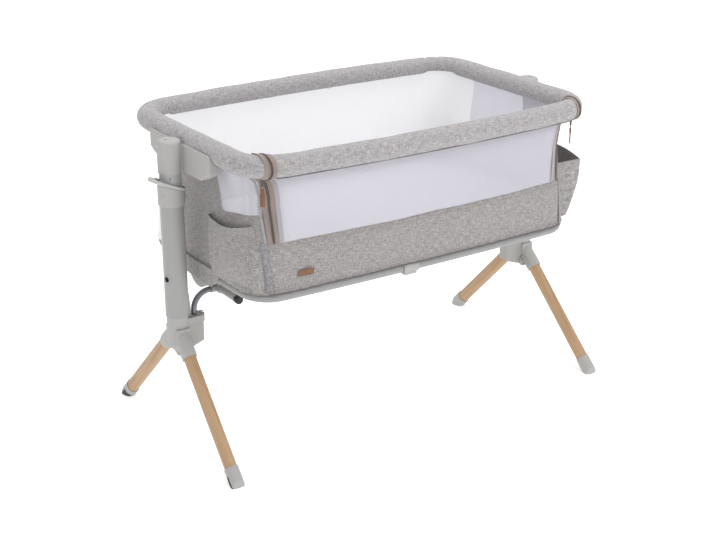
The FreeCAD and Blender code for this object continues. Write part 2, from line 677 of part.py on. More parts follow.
def collar():
    """Guide collar on the column, cut slanting under the lever's plate."""
    body = upright(COLLAR_RADIUS, COLLAR_BOTTOM, 600)
    bottom_edge = [edge for edge in body.Edges
                   if all(abs(vertex.Z - COLLAR_BOTTOM) < 0.01 for vertex in edge.Vertexes)]
    body = body.makeFillet(2.5, bottom_edge)
    over = lever_frame(box(-110, 60, -60, 60, -LEVER_THICKNESS / 2 - 0.8, 90))
    outer_face = -COLUMN_X + COLLAR_RADIUS
    cheeks = across(6.0, outer_face - 4, outer_face + 2.4, PIVOT_Z - 4.5, PIVOT_Z + 4.5)
    body = fuse([body, cheeks]).cut(over)
    body = body.cut(upright(COLUMN_RADIUS, 500, COLUMN_TOP))
    body = body.cut(upright(INNER_RADIUS + 0.4, 500, 620))
    leg_x = -PIVOT_X - LEG_PLATE / 2 - 0.6
    body = body.cut(across(6.2, leg_x, 0, PIVOT_Z + 4.5, 620))
    body = body.cut(across(3.2, leg_x - 1.0, 0, PIVOT_Z - 3.4, PIVOT_Z + 5))
    body = body.cut(rod(PIN_RADIUS + 0.3, V(-COLUMN_X, 0, LEVEL_TOP_Z),
                        V(0, 0, LEVEL_TOP_Z)))
    pivot = rod(PIVOT_RADIUS, V(-PIVOT_X, -5, PIVOT_Z), V(-PIVOT_X, 5, PIVOT_Z))
    spot = turned(Part.Vertex(V(-COLLAR_RADIUS - 0.6, 0, 0)), ORIGIN, Z_AXIS, 28.0).Point
    seat = V(-COLUMN_X, 0, LEVEL_TOP_Z - 1)
    rivet = rod(2.2, seat + spot * 0.95, seat + spot)
    return fuse([body, pivot, rivet])


def lock_pin():
    """Headed pin that the lever draws out of the row of level holes."""
    nose = -COLUMN_X + INNER_RADIUS + PIN_CLEARANCE
    head_x = -PIVOT_X + LEG_PLATE / 2 + 0.9
    shank = rod(PIN_RADIUS, V(nose, 0, LEVEL_TOP_Z), V(head_x, 0, LEVEL_TOP_Z))
    button = rod(PIN_HEAD_RADIUS, V(head_x, 0, LEVEL_TOP_Z), V(head_x + 1.5, 0, LEVEL_TOP_Z))
    return fuse([shank, button])


# ---------------------------------------------------------------- hub and legs
def leg_place(shape):
    """Turn a shape drawn downwards from the apex into the back leg's line."""
    placed = shape.copy()
    placed.rotate(ORIGIN, X_AXIS, LEG_ANGLE)
    placed.rotate(ORIGIN, Y_AXIS, LEG_SPLAY)
    placed.translate(V(-COLUMN_X, 0, APEX_Z))
    return placed


def oval(half_x, half_y, z):
    """Oval section, longer across the leg than along X."""
    ellipse = Part.Ellipse(V(0, half_y, z), V(half_x, 0, z), V(0, 0, z))
    return Part.Wire(ellipse.toShape())


def oval_bar(grow, start, end):
    face = Part.Face(oval(LEG_HALF_THICK + grow, LEG_HALF_DEEP + grow, -start))
    return face.extrude(V(0, 0, start - end))


def leg():
    return leg_place(oval_bar(0.0, LEG_START, LEG_END))


def foot_limits():
    """Everything above the floor and inside a foot's rounded outer face."""
    centre_y = FOOT_REACH_Y - FOOT_ROUND
    x = -COLUMN_X - math.sin(math.radians(LEG_SPLAY)) * APEX_Z
    round_end = rod(FOOT_ROUND, V(x, centre_y, 0), V(x, centre_y, 80))
    inner_side = box(x - 60, x + 60, centre_y - 80, centre_y, 0, 80)
    return fuse([round_end, inner_side])


def pad_region():
    """Where the rubber pad lies: the outer, lower flank of the foot."""
    return leg_place(box(-40, -5.0, -40, 3.0, -400, -PAD_START))


def foot_cap():
    whole = leg_place(oval_bar(FOOT_CAP_WALL, FOOT_CAP_START, 400)).common(foot_limits())
    core = leg_place(oval_bar(FOOT_CAP_WALL - PAD_DEPTH, LEG_END, 400))
    whole = whole.cut(leg_place(oval_bar(0.0, 0.0, LEG_END)))
    pad = whole.common(pad_region()).cut(core)
    return whole.cut(pad), pad


def hub_socket():
    """Tapered sleeve for the top of the back leg."""
    half_x = LEG_HALF_THICK + SOCKET_WALL
    half_y = LEG_HALF_DEEP + SOCKET_WALL
    socket = Part.makeLoft([oval(half_x - 1.5, half_y - 1.5, 0),
                            oval(half_x, half_y, -SOCKET_END + 10),
                            oval(half_x - 0.8, half_y - 0.8, -SOCKET_END)], True, True)
    return leg_place(socket)


def hub():
    """Moulded hub: plug for the column, two leg sockets and an inner block."""
    plug = upright(COLUMN_RADIUS - COLUMN_WALL, 226, COLUMN_BOTTOM + 26)
    web = across(27.0, -COLUMN_X - 15, -COLUMN_X + 15, 206, 262)
    arch = rod(34.0, V(-COLUMN_X - 30, 0, 178), V(-COLUMN_X + 30, 0, 178))
    socket = hub_socket()
    seat_x = -COLUMN_X + 45
    top_plate = rod(17.0, V(seat_x, 0, 264), V(seat_x, 0, 280))
    top_bar = across(17.0, -COLUMN_X, seat_x, 264, 280)
    block = prism_xz([(-COLUMN_X, 206), (-COLUMN_X + 24, 211), (-COLUMN_X + 54, 222),
                      (-COLUMN_X + 54, 264), (-COLUMN_X, 264)], -14, 14)
    gusset = prism_xz([(-COLUMN_X, 280), (-COLUMN_X + 30, 280), (-COLUMN_X + 25.6, 334),
                       (-COLUMN_X, 334)], -6, 6)
    gusset = gusset.cut(upright(COLUMN_RADIUS, COLUMN_BOTTOM, ABOVE))
    gusset = gusset.cut(upright(COLUMN_RADIUS - 3, 0, ABOVE))
    body = fuse([plug, web.cut(arch), socket, other_side(socket), top_plate, top_bar, block,
                 gusset])
    bore = leg_place(oval_bar(0.0, LEG_START, SOCKET_END + 20))
    body = body.cut(bore).cut(other_side(bore))
    body = body.cut(rod(ARM_RADIUS, V(-ARM_X, 0, ARM_FOOT_Z), V(-ARM_X, 0, 300)))
    for row in range(5):
        depth = SOCKET_END - 4.5 - row * 8.0
        slot = leg_place(box(LEG_HALF_THICK + 0.9, 30.0, -11.0, 11.0, -depth, -depth + 4.5))
        body = body.cut(slot).cut(other_side(slot))
    return body


# ---------------------------------------------------------------- rest arm
def rest_arm():
    foot = V(-ARM_X, 0, ARM_FOOT_Z)
    knee = V(-ARM_X, 0, ARM_BEND_Z)
    top = V(-ARM_X + ARM_BEND, 0, BAR_Z)
    middle = V(-ARM_X + ARM_BEND * (1 - math.sqrt(0.5)), 0,
               ARM_BEND_Z + ARM_BEND * math.sqrt(0.5))
    end = V(-BAR_X - BAR_RADIUS, 0, BAR_Z)
    path = Part.Wire([Part.makeLine(foot, knee), arc(knee, middle, top),
                      Part.makeLine(top, end)])
    profile = Part.Wire(Part.makeCircle(ARM_RADIUS, foot, Z_AXIS))
    return path.makePipeShell([profile], True, False)


def rest_bar(arm):
    """Cross bar with the sleeve that takes the arm's end."""
    start = V(-BAR_X, -BAR_HALF, BAR_Z)
    end = V(-BAR_X, BAR_HALF, BAR_Z)
    centre = V(-BAR_X, 0, BAR_Z)
    sleeve = rod(BAR_RADIUS + BAR_SLEEVE, centre - Y_AXIS * 13, centre + Y_AXIS * 13)
    socket = rod(ARM_RADIUS + 2.0, centre - X_AXIS * 20, centre)
    bar = fuse([rod(BAR_RADIUS, start, end), sleeve, socket])
    bar = bar.cut(rod(BAR_RADIUS - BAR_WALL, start - Y_AXIS, end + Y_AXIS))
    return bar.cut(arm)


def rest_bar_caps():
    caps = []
    for side in (-1, 1):
        start = V(-BAR_X, side * (BAR_HALF - 8), BAR_Z)
        face = V(-BAR_X, side * BAR_HALF, BAR_Z)
        end = V(-BAR_X, side * (BAR_HALF + BAR_CAP_LENGTH), BAR_Z)
        button = rod(BAR_RADIUS + 0.8, face, end)
        rim = [edge for edge in button.Edges
               if all(abs(vertex.Y - end.y) < 0.01 for vertex in edge.Vertexes)]
        button = button.makeFillet(3.0, rim)
        caps.append(fuse([button, rod(BAR_RADIUS - BAR_WALL, start, face)]))
    return Part.makeCompound(caps)


def stand_screws():
    """Pan-head screws: one beside the arm and one in the bar's sleeve."""
    seat_x = -COLUMN_X + 56
    arm_screw = rod(4.5, V(seat_x, 0, 280), V(seat_x, 0, 284))
    centre = V(-BAR_X, -8, BAR_Z)
    upwards = V(-0.25, 0, 1).normalize()
    bar_screw = rod(4.2, centre, centre + upwards * 12.5)
    keep = rod(BAR_RADIUS + BAR_SLEEVE, centre - Y_AXIS * 13, centre + Y_AXIS * 13)
    bar_screw = bar_screw.cut(keep)
    return Part.makeCompound([arm_screw, bar_screw])


# ---------------------------------------------------------------- zip parts
def seated(shape):
    """Turn a piece drawn at the origin, facing -Y, to its place under the rail."""
    placed = turned(shape, ORIGIN, Z_AXIS, SLIDER_TURN)
    placed.translate(V(-SLIDER_X, SLIDER_Y, 0))
    return placed


def bail_point():
    """Middle of the ring's wire where it hangs in the slider's bail."""
    low = SLIDER_Z - SLIDER_LENGTH
    return V(0, 0, low - BAIL_OPENING + RING_WIRE + 0.3)


def zip_slider():
    """Slider with a stirrup for the pull's ring, drawn facing -Y."""
    half_x = SLIDER_WIDTH / 2
    half_y = SLIDER_DEPTH / 2
    low = SLIDER_Z - SLIDER_LENGTH
    body = box(-half_x, half_x, -half_y, half_y, low, SLIDER_Z)
    upright_edges = [edge for edge in body.Edges if edge.tangentAt(0).isParallel(Z_AXIS, 0.01)]
    body = body.makeFillet(1.5, upright_edges)
    half = BAIL_WIDTH / 2
    bail = box(-half, half, -half_y, half_y, low - BAIL_OPENING - 1.5, low + 0.5)
    eye = box(-half, half, -half_y + BAIL_WALL, half_y - BAIL_WALL, low - BAIL_OPENING, low)
    return fuse([body, bail.cut(eye)])


def zip_pull():
    """Ring, ferrule and tag that hang from the slider's bail."""
    centre = bail_point() - Z_AXIS * RING_RADIUS
    ring = Part.makeTorus(RING_RADIUS, RING_WIRE, centre, Y_AXIS)
    top = centre.z - RING_RADIUS
    ferrule = box(-3.6, 3.6, -2.0, 2.0, top - 12.0, top - 2.0)
    neck = box(-1.6, 1.6, -1.2, 1.2, top - 3.0, top + 0.4)
    tag = box(-5.0, 5.0, -1.1, 1.1, top - 36.0, top - 10.0)
    return fuse([ring, neck, ferrule, tag])


# ---------------------------------------------------------------- nodes
def both_ends(nodes, name, shape):
    nodes["left_" + name] = shape
    nodes["right_" + name] = other_end(shape)


def build():
    nodes = rails()
    padding = RAIL.ring(RAIL_Z, PADDING_RADIUS)
    block = wall_block(0.0)
    skin = block.cut(wall_block(-CLOTH)).cut(padding)
    nodes.update(walls(skin))
    nodes.update(zip_tapes(padding, block, skin))
    nodes.update(floor_frame())
    nodes.update(floor_and_mattress())
    nodes["left_pocket"] = pocket(block, LEFT_POCKET, LEFT_MOUTH)
    nodes["right_pocket"] = other_end(pocket(block, RIGHT_POCKET, RIGHT_MOUTH))
    both_ends(nodes, "frame_bracket", end_bracket())
    both_ends(nodes, "head_bracket", head_bracket(padding))
    both_ends(nodes, "head_cap", head_cap(padding))
    both_ends(nodes, "inner_tube", inner_tube())
    both_ends(nodes, "column", column())
    both_ends(nodes, "collar", collar())
    both_ends(nodes, "release_lever", lever())
    both_ends(nodes, "lock_pin", lock_pin())
    both_ends(nodes, "leg_hub", hub())
    arm = rest_arm()
    both_ends(nodes, "rest_arm", arm)
    both_ends(nodes, "rest_bar", rest_bar(arm))
    both_ends(nodes, "rest_bar_caps", rest_bar_caps())
    both_ends(nodes, "stand_screws", stand_screws())
    both_ends(nodes, "front_leg", other_side(leg()))
    both_ends(nodes, "back_leg", leg())
    cap, pad = foot_cap()
    both_ends(nodes, "foot_caps", Part.makeCompound([other_side(cap), cap]))
    both_ends(nodes, "foot_pads", Part.makeCompound([other_side(pad), pad]))
    both_ends(nodes, "zip_slider", seated(zip_slider()))
    both_ends(nodes, "zip_pull", seated(zip_pull()))
    return nodes


def main():
    os.makedirs("parts", exist_ok=True)
    for name, shape in build().items():
        if not shape.isValid():
            print("not valid:", name)
        print(name, len(shape.Solids), "solid(s)", round(shape.Volume / 1000.0, 2), "cm3")
        shape.exportStep("parts/%s.step" % name)


if __name__ == "__main__":
    main()
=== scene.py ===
"""Looks of the bedside sleeper crib: padded rail, cloth basket with mesh gate, two adjustable stands.

Metres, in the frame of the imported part. +X runs along the length, -Y faces the bed, +Z is up.
"""

import json
import logging
import math
from dataclasses import dataclass, field
from enum import Enum
from functools import lru_cache
from typing import Iterable, Optional, Sequence

import bmesh
import bpy
import numpy as np
from mathutils import Matrix, Vector
from mathutils.kdtree import KDTree

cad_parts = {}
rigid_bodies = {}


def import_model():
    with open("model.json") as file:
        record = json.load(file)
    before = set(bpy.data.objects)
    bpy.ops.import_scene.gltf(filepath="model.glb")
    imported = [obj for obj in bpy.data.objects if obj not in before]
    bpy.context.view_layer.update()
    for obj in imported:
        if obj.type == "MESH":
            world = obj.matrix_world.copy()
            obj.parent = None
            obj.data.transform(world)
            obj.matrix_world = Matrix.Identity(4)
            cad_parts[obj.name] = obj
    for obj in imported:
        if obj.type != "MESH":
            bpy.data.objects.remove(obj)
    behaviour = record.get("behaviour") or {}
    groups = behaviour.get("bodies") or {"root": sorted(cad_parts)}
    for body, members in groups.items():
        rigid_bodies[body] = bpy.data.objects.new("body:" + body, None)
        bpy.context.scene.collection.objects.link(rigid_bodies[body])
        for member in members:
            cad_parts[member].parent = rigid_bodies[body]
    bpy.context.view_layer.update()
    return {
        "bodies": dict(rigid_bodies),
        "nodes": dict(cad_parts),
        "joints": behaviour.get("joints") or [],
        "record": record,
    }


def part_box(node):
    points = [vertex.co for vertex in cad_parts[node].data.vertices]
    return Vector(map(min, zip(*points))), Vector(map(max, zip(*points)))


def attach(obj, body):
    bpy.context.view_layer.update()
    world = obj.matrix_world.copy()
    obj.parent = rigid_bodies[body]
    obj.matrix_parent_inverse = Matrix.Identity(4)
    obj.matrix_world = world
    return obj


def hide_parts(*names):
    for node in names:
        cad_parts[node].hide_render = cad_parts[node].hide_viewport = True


LOG = logging.getLogger("crib")
MM = 0.001
# Points nearer than this are one point.
MERGE = 1e-5
Colour = tuple[float, float, float]
Socket = bpy.types.NodeSocket


def linear(red: int, green: int, blue: int) -> Colour:
    """Turns an 8-bit display colour into scene-linear values.

    Args:
        red, green, blue: display values from 0 to 255.

    Returns:
        The three linear components.
    """
    def one(value: int) -> float:
        """Linearises one component."""
        v = value / 255
        return v / 12.92 if v <= 0.04045 else ((v + 0.055) / 1.055) ** 2.4
    return one(red), one(green), one(blue)


def rgba(colour: Colour) -> tuple[float, float, float, float]:
    """The colour with full opacity."""
    return (*colour, 1.0)


# ---------------------------------------------------------------- shader trees
class Coordinates(Enum):
    """What a pattern follows: the cloth's own run or the object's space."""

    CLOTH = "UV"
    SPACE = "Object"


# Places of the sockets of Blender's Mix node in its colour mode.
MIX_FACTOR, MIX_A, MIX_B, MIX_RESULT = 0, 6, 7, 2


class ShaderTree:
    """One material's node tree, with a principled surface at its end."""

    def __init__(self, name: str) -> None:
        """Args: name: the material's name."""
        self.material = bpy.data.materials.new(name)
        self.material.use_nodes = True
        self.tree = self.material.node_tree
        self.tree.nodes.clear()
        output = self.tree.nodes.new("ShaderNodeOutputMaterial")
        self.surface = self.tree.nodes.new("ShaderNodeBsdfPrincipled")
        self.tree.links.new(self.surface.outputs["BSDF"], output.inputs["Surface"])

    def add(self, kind: str, inputs: Optional[dict] = None, **settings: object) -> bpy.types.Node:
        """Adds a node.

        Args:
            kind: node type without the "ShaderNode" in front.
            inputs: values or sockets for the node's inputs, by name or place.
            settings: the node's own properties.

        Returns:
            The new node.
        """
        node = self.tree.nodes.new("ShaderNode" + kind)
        for key, value in settings.items():
            setattr(node, key, value)
        for key, value in (inputs or {}).items():
            self.feed(node, key, value)
        return node

    def feed(self, node: bpy.types.Node, key: object, value: object) -> None:
        """Gives an input a value or links a socket to it."""
        if isinstance(value, bpy.types.NodeSocket):
            self.tree.links.new(value, node.inputs[key])
        else:
            node.inputs[key].default_value = value

    def finish(self, **inputs: object) -> bpy.types.Material:
        """Sets the surface's inputs, written with _ for spaces.

        Returns:
            The finished material.
        """
        for key, value in inputs.items():
            self.feed(self.surface, key.replace("_", " "), value)
        return self.material

    def place(self, follows: Coordinates = Coordinates.SPACE) -> Socket:
        """Coordinates in metres."""
        return self.add("TexCoord").outputs[follows.value]

    def scaled(self, place: Socket, scale: Sequence[float]) -> Socket:
        """The coordinates stretched."""
        return self.add("Mapping", {"Vector": place, "Scale": tuple(scale)}).outputs["Vector"]

    def noise(self, place: Socket, scale: float = 1.0, detail: float = 2.0, rough: float = 0.5) -> Socket:
        """A cloud pattern from 0 to 1."""
        inputs = {"Vector": place, "Scale": scale, "Detail": detail, "Roughness": rough}
        return self.add("TexNoise", inputs).outputs["Fac"]

    def math(self, operation: str, a: object, b: object = 0.0) -> Socket:
        """One sum on two numbers or sockets."""
        return self.add("Math", {0: a, 1: b}, operation=operation).outputs[0]

    def shifted(self, pattern: Socket, span: float, base: float) -> Socket:
        """The pattern scaled to a span above a base value."""
        return self.math("ADD", self.math("MULTIPLY", pattern, span), base)

    def ramp(self, fac: Socket, stops: Sequence[tuple[float, Colour]]) -> Socket:
        """Colours a number by stops."""
        node = self.add("ValToRGB", {"Fac": fac})
        ramp = node.color_ramp
        while len(ramp.elements) < len(stops):
            ramp.elements.new(0.5)
        for element, (place, colour) in zip(ramp.elements, stops):
            element.position = place
            element.color = rgba(colour)
        return node.outputs["Color"]

    def remap(self, value: Socket, start: float, end: float, top: float) -> Socket:
        """The value's stretch from start to end turned into 0 to top."""
        inputs = {"Value": value, "From Min": start, "From Max": end, "To Min": 0.0, "To Max": top}
        return self.add("MapRange", inputs).outputs["Result"]

    def mix(self, fac: object, a: object, b: object) -> Socket:
        """Mixes two colours."""
        node = self.add("Mix", data_type="RGBA")
        for place, value in ((MIX_FACTOR, fac), (MIX_A, a), (MIX_B, b)):
            value = rgba(value) if isinstance(value, tuple) and len(value) == 3 else value
            self.feed(node, place, value)
        return node.outputs[MIX_RESULT]

    def mottled(self, pattern: Socket, amount: float, colour: Colour, shade: float) -> Socket:
        """The colour, darkened towards its shade where the pattern is high."""
        return self.mix(self.math("MULTIPLY", pattern, amount), colour, tuple(c * shade for c in colour))

    def bump(self, height: Socket, depth: float, strength: float = 1.0,
             under: Optional[Socket] = None) -> Socket:
        """Turns a height into a normal.

        Args:
            height: the pattern.
            depth: its depth in metres.
            strength: how much of it shows.
            under: a coarser normal that it lies on.
        """
        inputs = {"Height": height, "Distance": depth, "Strength": strength}
        if under is not None:
            inputs["Normal"] = under
        return self.add("Bump", inputs).outputs["Normal"]


@dataclass(frozen=True)
class MelangeCloth:
    """Linen-look melange: dark, middle and light threads, slubs and a plain weave."""

    name: str
    dark: Colour
    middle: Colour
    light: Colour
    thread: float
    dark_to: float = 0.36
    light_from: float = 0.64
    slub_length: tuple[float, float] = (0.07, 0.08)
    slub_width: float = 0.5
    fleck: float = 0.36
    fleck_share: float = 0.24

    def material(self) -> bpy.types.Material:
        """The woven material, patterned along the cloth's own run."""
        shade = ShaderTree(self.name)
        place = shade.place(Coordinates.CLOTH)
        pitch = 1 / self.thread
        width = pitch * self.slub_width
        weft = shade.noise(shade.scaled(place, (pitch * self.slub_length[0], width, 40)), 1, 3, 0.6)
        warp = shade.noise(shade.scaled(place, (width, pitch * self.slub_length[1], 40)), 1, 3, 0.6)
        fleck = shade.noise(shade.scaled(place, (pitch * self.fleck, pitch * self.fleck, 60)), 1, 2, 0.6)
        cloud = shade.noise(shade.scaled(place, (14, 14, 14)), 1, 3, 0.5)
        threads = shade.math("ADD", shade.math("MULTIPLY", weft, 0.5), shade.math("MULTIPLY", warp, 0.5))
        tone = shade.math("ADD", shade.math("MULTIPLY", threads, 1 - self.fleck_share),
                          shade.math("MULTIPLY", fleck, self.fleck_share))
        colour = shade.ramp(tone, [(self.dark_to, self.dark), (0.5, self.middle), (self.light_from, self.light)])
        colour = shade.mix(shade.math("MULTIPLY", cloud, 0.22), colour, self.middle)
        over, across = (
            shade.add("TexWave", {"Vector": shade.scaled(place, (pitch / 2, pitch / 2, 1)), "Scale": 1.0,
                                  "Distortion": 1.2, "Detail": 1.0}, bands_direction=way).outputs["Fac"]
            for way in ("X", "Y"))
        weave = shade.math("ADD", shade.math("MULTIPLY", over, across), shade.math("MULTIPLY", threads, 1.2))
        broad = shade.bump(shade.noise(shade.scaled(place, (38, 30, 30)), 1, 3, 0.55), 1.6 * MM, 0.35)
        return shade.finish(Base_Color=colour, Roughness=0.93, Specular_IOR_Level=0.2,
                            Sheen_Weight=0.25, Sheen_Roughness=0.6,
                            Normal=shade.bump(weave, 0.35 * MM, 0.55, broad))


@dataclass(frozen=True)
class PlainCloth:
    """Closely woven or knitted cloth of one colour."""

    name: str
    colour: Colour
    shadow: Colour
    thread: float = 0.6 * MM
    rough: float = 0.85
    crumple: float = 1.2 * MM

    def material(self) -> bpy.types.Material:
        """The material, with faint threads and soft creases."""
        shade = ShaderTree(self.name)
        place = shade.place()
        fine = shade.noise(place, 1 / (self.thread * 2), 2, 0.6)
        soft = shade.noise(shade.scaled(place, (9, 9, 9)), 1, 4, 0.55)
        colour = shade.mix(shade.math("MULTIPLY", shade.noise(place, 260, 3, 0.6), 0.35),
                           self.colour, self.shadow)
        broad = shade.bump(soft, self.crumple * 4, 0.3)
        return shade.finish(Base_Color=colour, Roughness=self.rough, Specular_IOR_Level=0.25,
                            Sheen_Weight=0.15, Normal=shade.bump(fine, 0.12 * MM, 0.4, broad))


@dataclass(frozen=True)
class MeshCloth:
    """Breathable knitted net: small round holes between lilac-white yarn."""

    name: str
    colour: Colour
    pitch: float = 1.5 * MM
    cover: float = 0.40
    hole: tuple[float, float] = (0.28, 0.42)

    def material(self) -> bpy.types.Material:
        """The net, open in its holes."""
        shade = ShaderTree(self.name)
        place = shade.place(Coordinates.CLOTH)
        size = 1 / self.pitch
        cells = shade.add("TexVoronoi", {"Vector": shade.scaled(place, (size, size, 1)), "Scale": 1.0,
                                         "Randomness": 0.12}, voronoi_dimensions="2D")
        yarn = shade.remap(cells.outputs["Distance"], *self.hole, 1.0)
        colour = shade.mottled(shade.noise(place, 500, 2, 0.5), 0.3, self.colour, 0.86)
        opaque = shade.shifted(yarn, 1 - self.cover * 0.5, self.cover * 0.5)
        return shade.finish(Base_Color=colour, Roughness=0.8, Specular_IOR_Level=0.25, Alpha=opaque,
                            Normal=shade.bump(yarn, 0.3 * MM, 0.5))


@dataclass(frozen=True)
class Leather:
    """Smooth tanned leather with a fine grain and darker patches."""

    name: str
    colour: Colour
    deep: Colour

    def material(self) -> bpy.types.Material:
        """The leather."""
        shade = ShaderTree(self.name)
        place = shade.place()
        grain = shade.add("TexVoronoi", {"Vector": place, "Scale": 1400.0}, feature="DISTANCE_TO_EDGE")
        patch = shade.noise(place, 130, 3, 0.6)
        return shade.finish(Base_Color=shade.mix(patch, self.colour, self.deep),
                            Roughness=shade.math("MULTIPLY_ADD", patch, 0.2), Specular_IOR_Level=0.4,
                            Normal=shade.bump(grain.outputs["Distance"], 0.15 * MM, 0.6))


@dataclass(frozen=True)
class Moulded:
    """Injection-moulded plastic with a fine spark-eroded texture."""

    name: str
    colour: Colour
    rough: float = 0.5
    texture: float = 0.05 * MM

    def material(self) -> bpy.types.Material:
        """The plastic, a little uneven in tone and gloss."""
        shade = ShaderTree(self.name)
        place = shade.place()
        fine = shade.noise(place, 2600, 2, 0.6)
        broad = shade.noise(place, 30, 3, 0.5)
        edge = shade.add("Bevel", {"Radius": 0.8 * MM}, samples=4).outputs["Normal"]
        return shade.finish(Base_Color=shade.mottled(broad, 0.35, self.colour, 0.9),
                            Roughness=shade.shifted(broad, 0.12, self.rough - 0.06), Specular_IOR_Level=0.42,
                            Normal=shade.bump(fine, self.texture, 0.5, edge))


@dataclass(frozen=True)
class PowderCoat:
    """Powder-coated tube: orange-peel surface over steel or aluminium."""

    name: str
    colour: Colour
    rough: float = 0.38
    metal: float = 0.0

    def material(self) -> bpy.types.Material:
        """The coated metal."""
        shade = ShaderTree(self.name)
        place = shade.place()
        peel = shade.noise(place, 700, 3, 0.6)
        cloud = shade.noise(place, 18, 2, 0.5)
        return shade.finish(Base_Color=shade.mottled(cloud, 0.3, self.colour, 0.88),
                            Roughness=shade.shifted(peel, 0.1, self.rough - 0.05), Metallic=self.metal,
                            Coat_Weight=0.12, Coat_Roughness=0.25,
                            Normal=shade.bump(peel, 0.06 * MM, 0.4))


@dataclass(frozen=True)
class Plated:
    """Bright zinc plate with fine scratches."""

    name: str
    colour: Colour
    rough: float = 0.28

    def material(self) -> bpy.types.Material:
        """The plated metal."""
        shade = ShaderTree(self.name)
        scratch = shade.noise(shade.scaled(shade.place(), (3000, 300, 900)), 1, 2, 0.6)
        return shade.finish(Base_Color=rgba(self.colour), Metallic=1.0,
                            Roughness=shade.shifted(scratch, 0.2, self.rough - 0.1),
                            Normal=shade.bump(scratch, 0.02 * MM, 0.4))


@dataclass(frozen=True)
class Beech:
    """Oiled beech, its grain along a leg that leans in the plane of X = constant."""

    name: str
    light: Colour
    dark: Colour
    lean: float

    def material(self) -> bpy.types.Material:
        """The wood: long streaks, short flecks and a soft gloss."""
        shade = ShaderTree(self.name)
        turned = shade.add("Mapping", {"Vector": shade.place(), "Rotation": (self.lean, 0, 0)}).outputs["Vector"]
        streak = shade.noise(shade.scaled(turned, (190, 190, 5)), 1, 4, 0.6)
        band = shade.noise(shade.scaled(turned, (46, 46, 1.6)), 1, 3, 0.5)
        fleck = shade.noise(shade.scaled(turned, (1500, 1500, 170)), 1, 2, 0.5)
        tone = shade.math("ADD", shade.math("MULTIPLY", streak, 0.55), shade.math("MULTIPLY", band, 0.45))
        colour = shade.ramp(tone, [(0.36, self.dark), (0.52, self.light), (0.72, self.light)])
        colour = shade.mix(shade.remap(fleck, 0.6, 0.74, 0.35), colour, self.dark)
        return shade.finish(Base_Color=colour, Roughness=0.48, Specular_IOR_Level=0.4,
                            Coat_Weight=0.08, Coat_Roughness=0.4,
                            Normal=shade.bump(streak, 0.12 * MM, 0.35))


@dataclass(frozen=True)
class Finishes:
    """Every finish on the crib, by name."""

    melange: MelangeCloth = MelangeCloth("melange_cloth", linear(104, 100, 99), linear(153, 149, 148),
                                         linear(192, 188, 187), 1.0 * MM)
    rail: MelangeCloth = MelangeCloth("melange_rail_cloth", linear(112, 108, 109), linear(165, 161, 162),
                                      linear(205, 202, 203), 1.0 * MM)
    lining: PlainCloth = PlainCloth("white_lining", linear(243, 243, 244), linear(230, 231, 234))
    end_lining: PlainCloth = PlainCloth("end_lining", linear(222, 221, 229), linear(206, 205, 214))
    mattress: PlainCloth = PlainCloth("mattress_cover", linear(246, 246, 246), linear(232, 232, 234),
                                      0.8 * MM, 0.9, 1.6 * MM)
    net: MeshCloth = MeshCloth("mesh_net", linear(206, 204, 213))
    tape: PlainCloth = PlainCloth("zip_tape_cloth", linear(152, 139, 133), linear(128, 116, 110), 0.5 * MM, 0.9,
                                  0.3 * MM)
    binding: PlainCloth = PlainCloth("binding_cloth", linear(166, 163, 168), linear(140, 137, 142), 0.5 * MM, 0.85,
                                     0.5 * MM)
    band: MelangeCloth = MelangeCloth("corner_band_cloth", linear(104, 102, 105), linear(143, 141, 145),
                                      linear(180, 178, 182), 0.8 * MM)
    teeth: Moulded = Moulded("zip_teeth", linear(112, 100, 95), 0.42)
    # Piping: a real dark cord whose colour is partly painted shade, for the creases under the gate's rail and under
    # the hem.
    piping: PlainCloth = PlainCloth("piping_cloth", linear(112, 108, 108), linear(88, 85, 85), 0.4 * MM)
    thread: PlainCloth = PlainCloth("sewing_thread", linear(150, 143, 139), linear(120, 112, 108), 0.3 * MM)
    grey_plastic: Moulded = Moulded("grey_plastic", linear(171, 170, 168), 0.52)
    lever_plastic: Moulded = Moulded("lever_plastic", linear(186, 186, 183), 0.5)
    black_plastic: Moulded = Moulded("black_plastic", linear(34, 34, 36), 0.4)
    dark_mark: Moulded = Moulded("printed_mark", linear(70, 70, 72), 0.6)
    rubber: Moulded = Moulded("foot_rubber", linear(70, 70, 76), 0.75, 0.12 * MM)
    grey_tube: PowderCoat = PowderCoat("grey_powder_coat", linear(158, 158, 157), 0.42)
    light_tube: PowderCoat = PowderCoat("light_powder_coat", linear(166, 166, 166), 0.36)
    steel_tube: PowderCoat = PowderCoat("frame_powder_coat", linear(148, 147, 148), 0.4)
    dark_tube: PowderCoat = PowderCoat("dark_metal_coat", linear(120, 122, 128), 0.32, 0.6)
    bright_steel: Plated = Plated("plated_steel", linear(206, 206, 208))
    beech_front: Beech = Beech("beech_front_leg", linear(182, 150, 117), linear(154, 120, 86), math.radians(45.3))
    beech_back: Beech = Beech("beech_back_leg", linear(182, 150, 117), linear(154, 120, 86), math.radians(-45.3))
    board: PlainCloth = PlainCloth("floor_board_fibre", linear(200, 192, 180), linear(178, 168, 154), 0.9 * MM)
    leather: Leather = Leather("tan_leather", linear(138, 102, 78), linear(108, 76, 56))
    zip_metal: Plated = Plated("zip_gunmetal", linear(96, 92, 90), 0.32)
    # Painted shade: near-black stand-in for the shaded inside of each sight hole.
    dark_hole: Moulded = Moulded("hole_shadow", linear(20, 20, 21), 0.9)


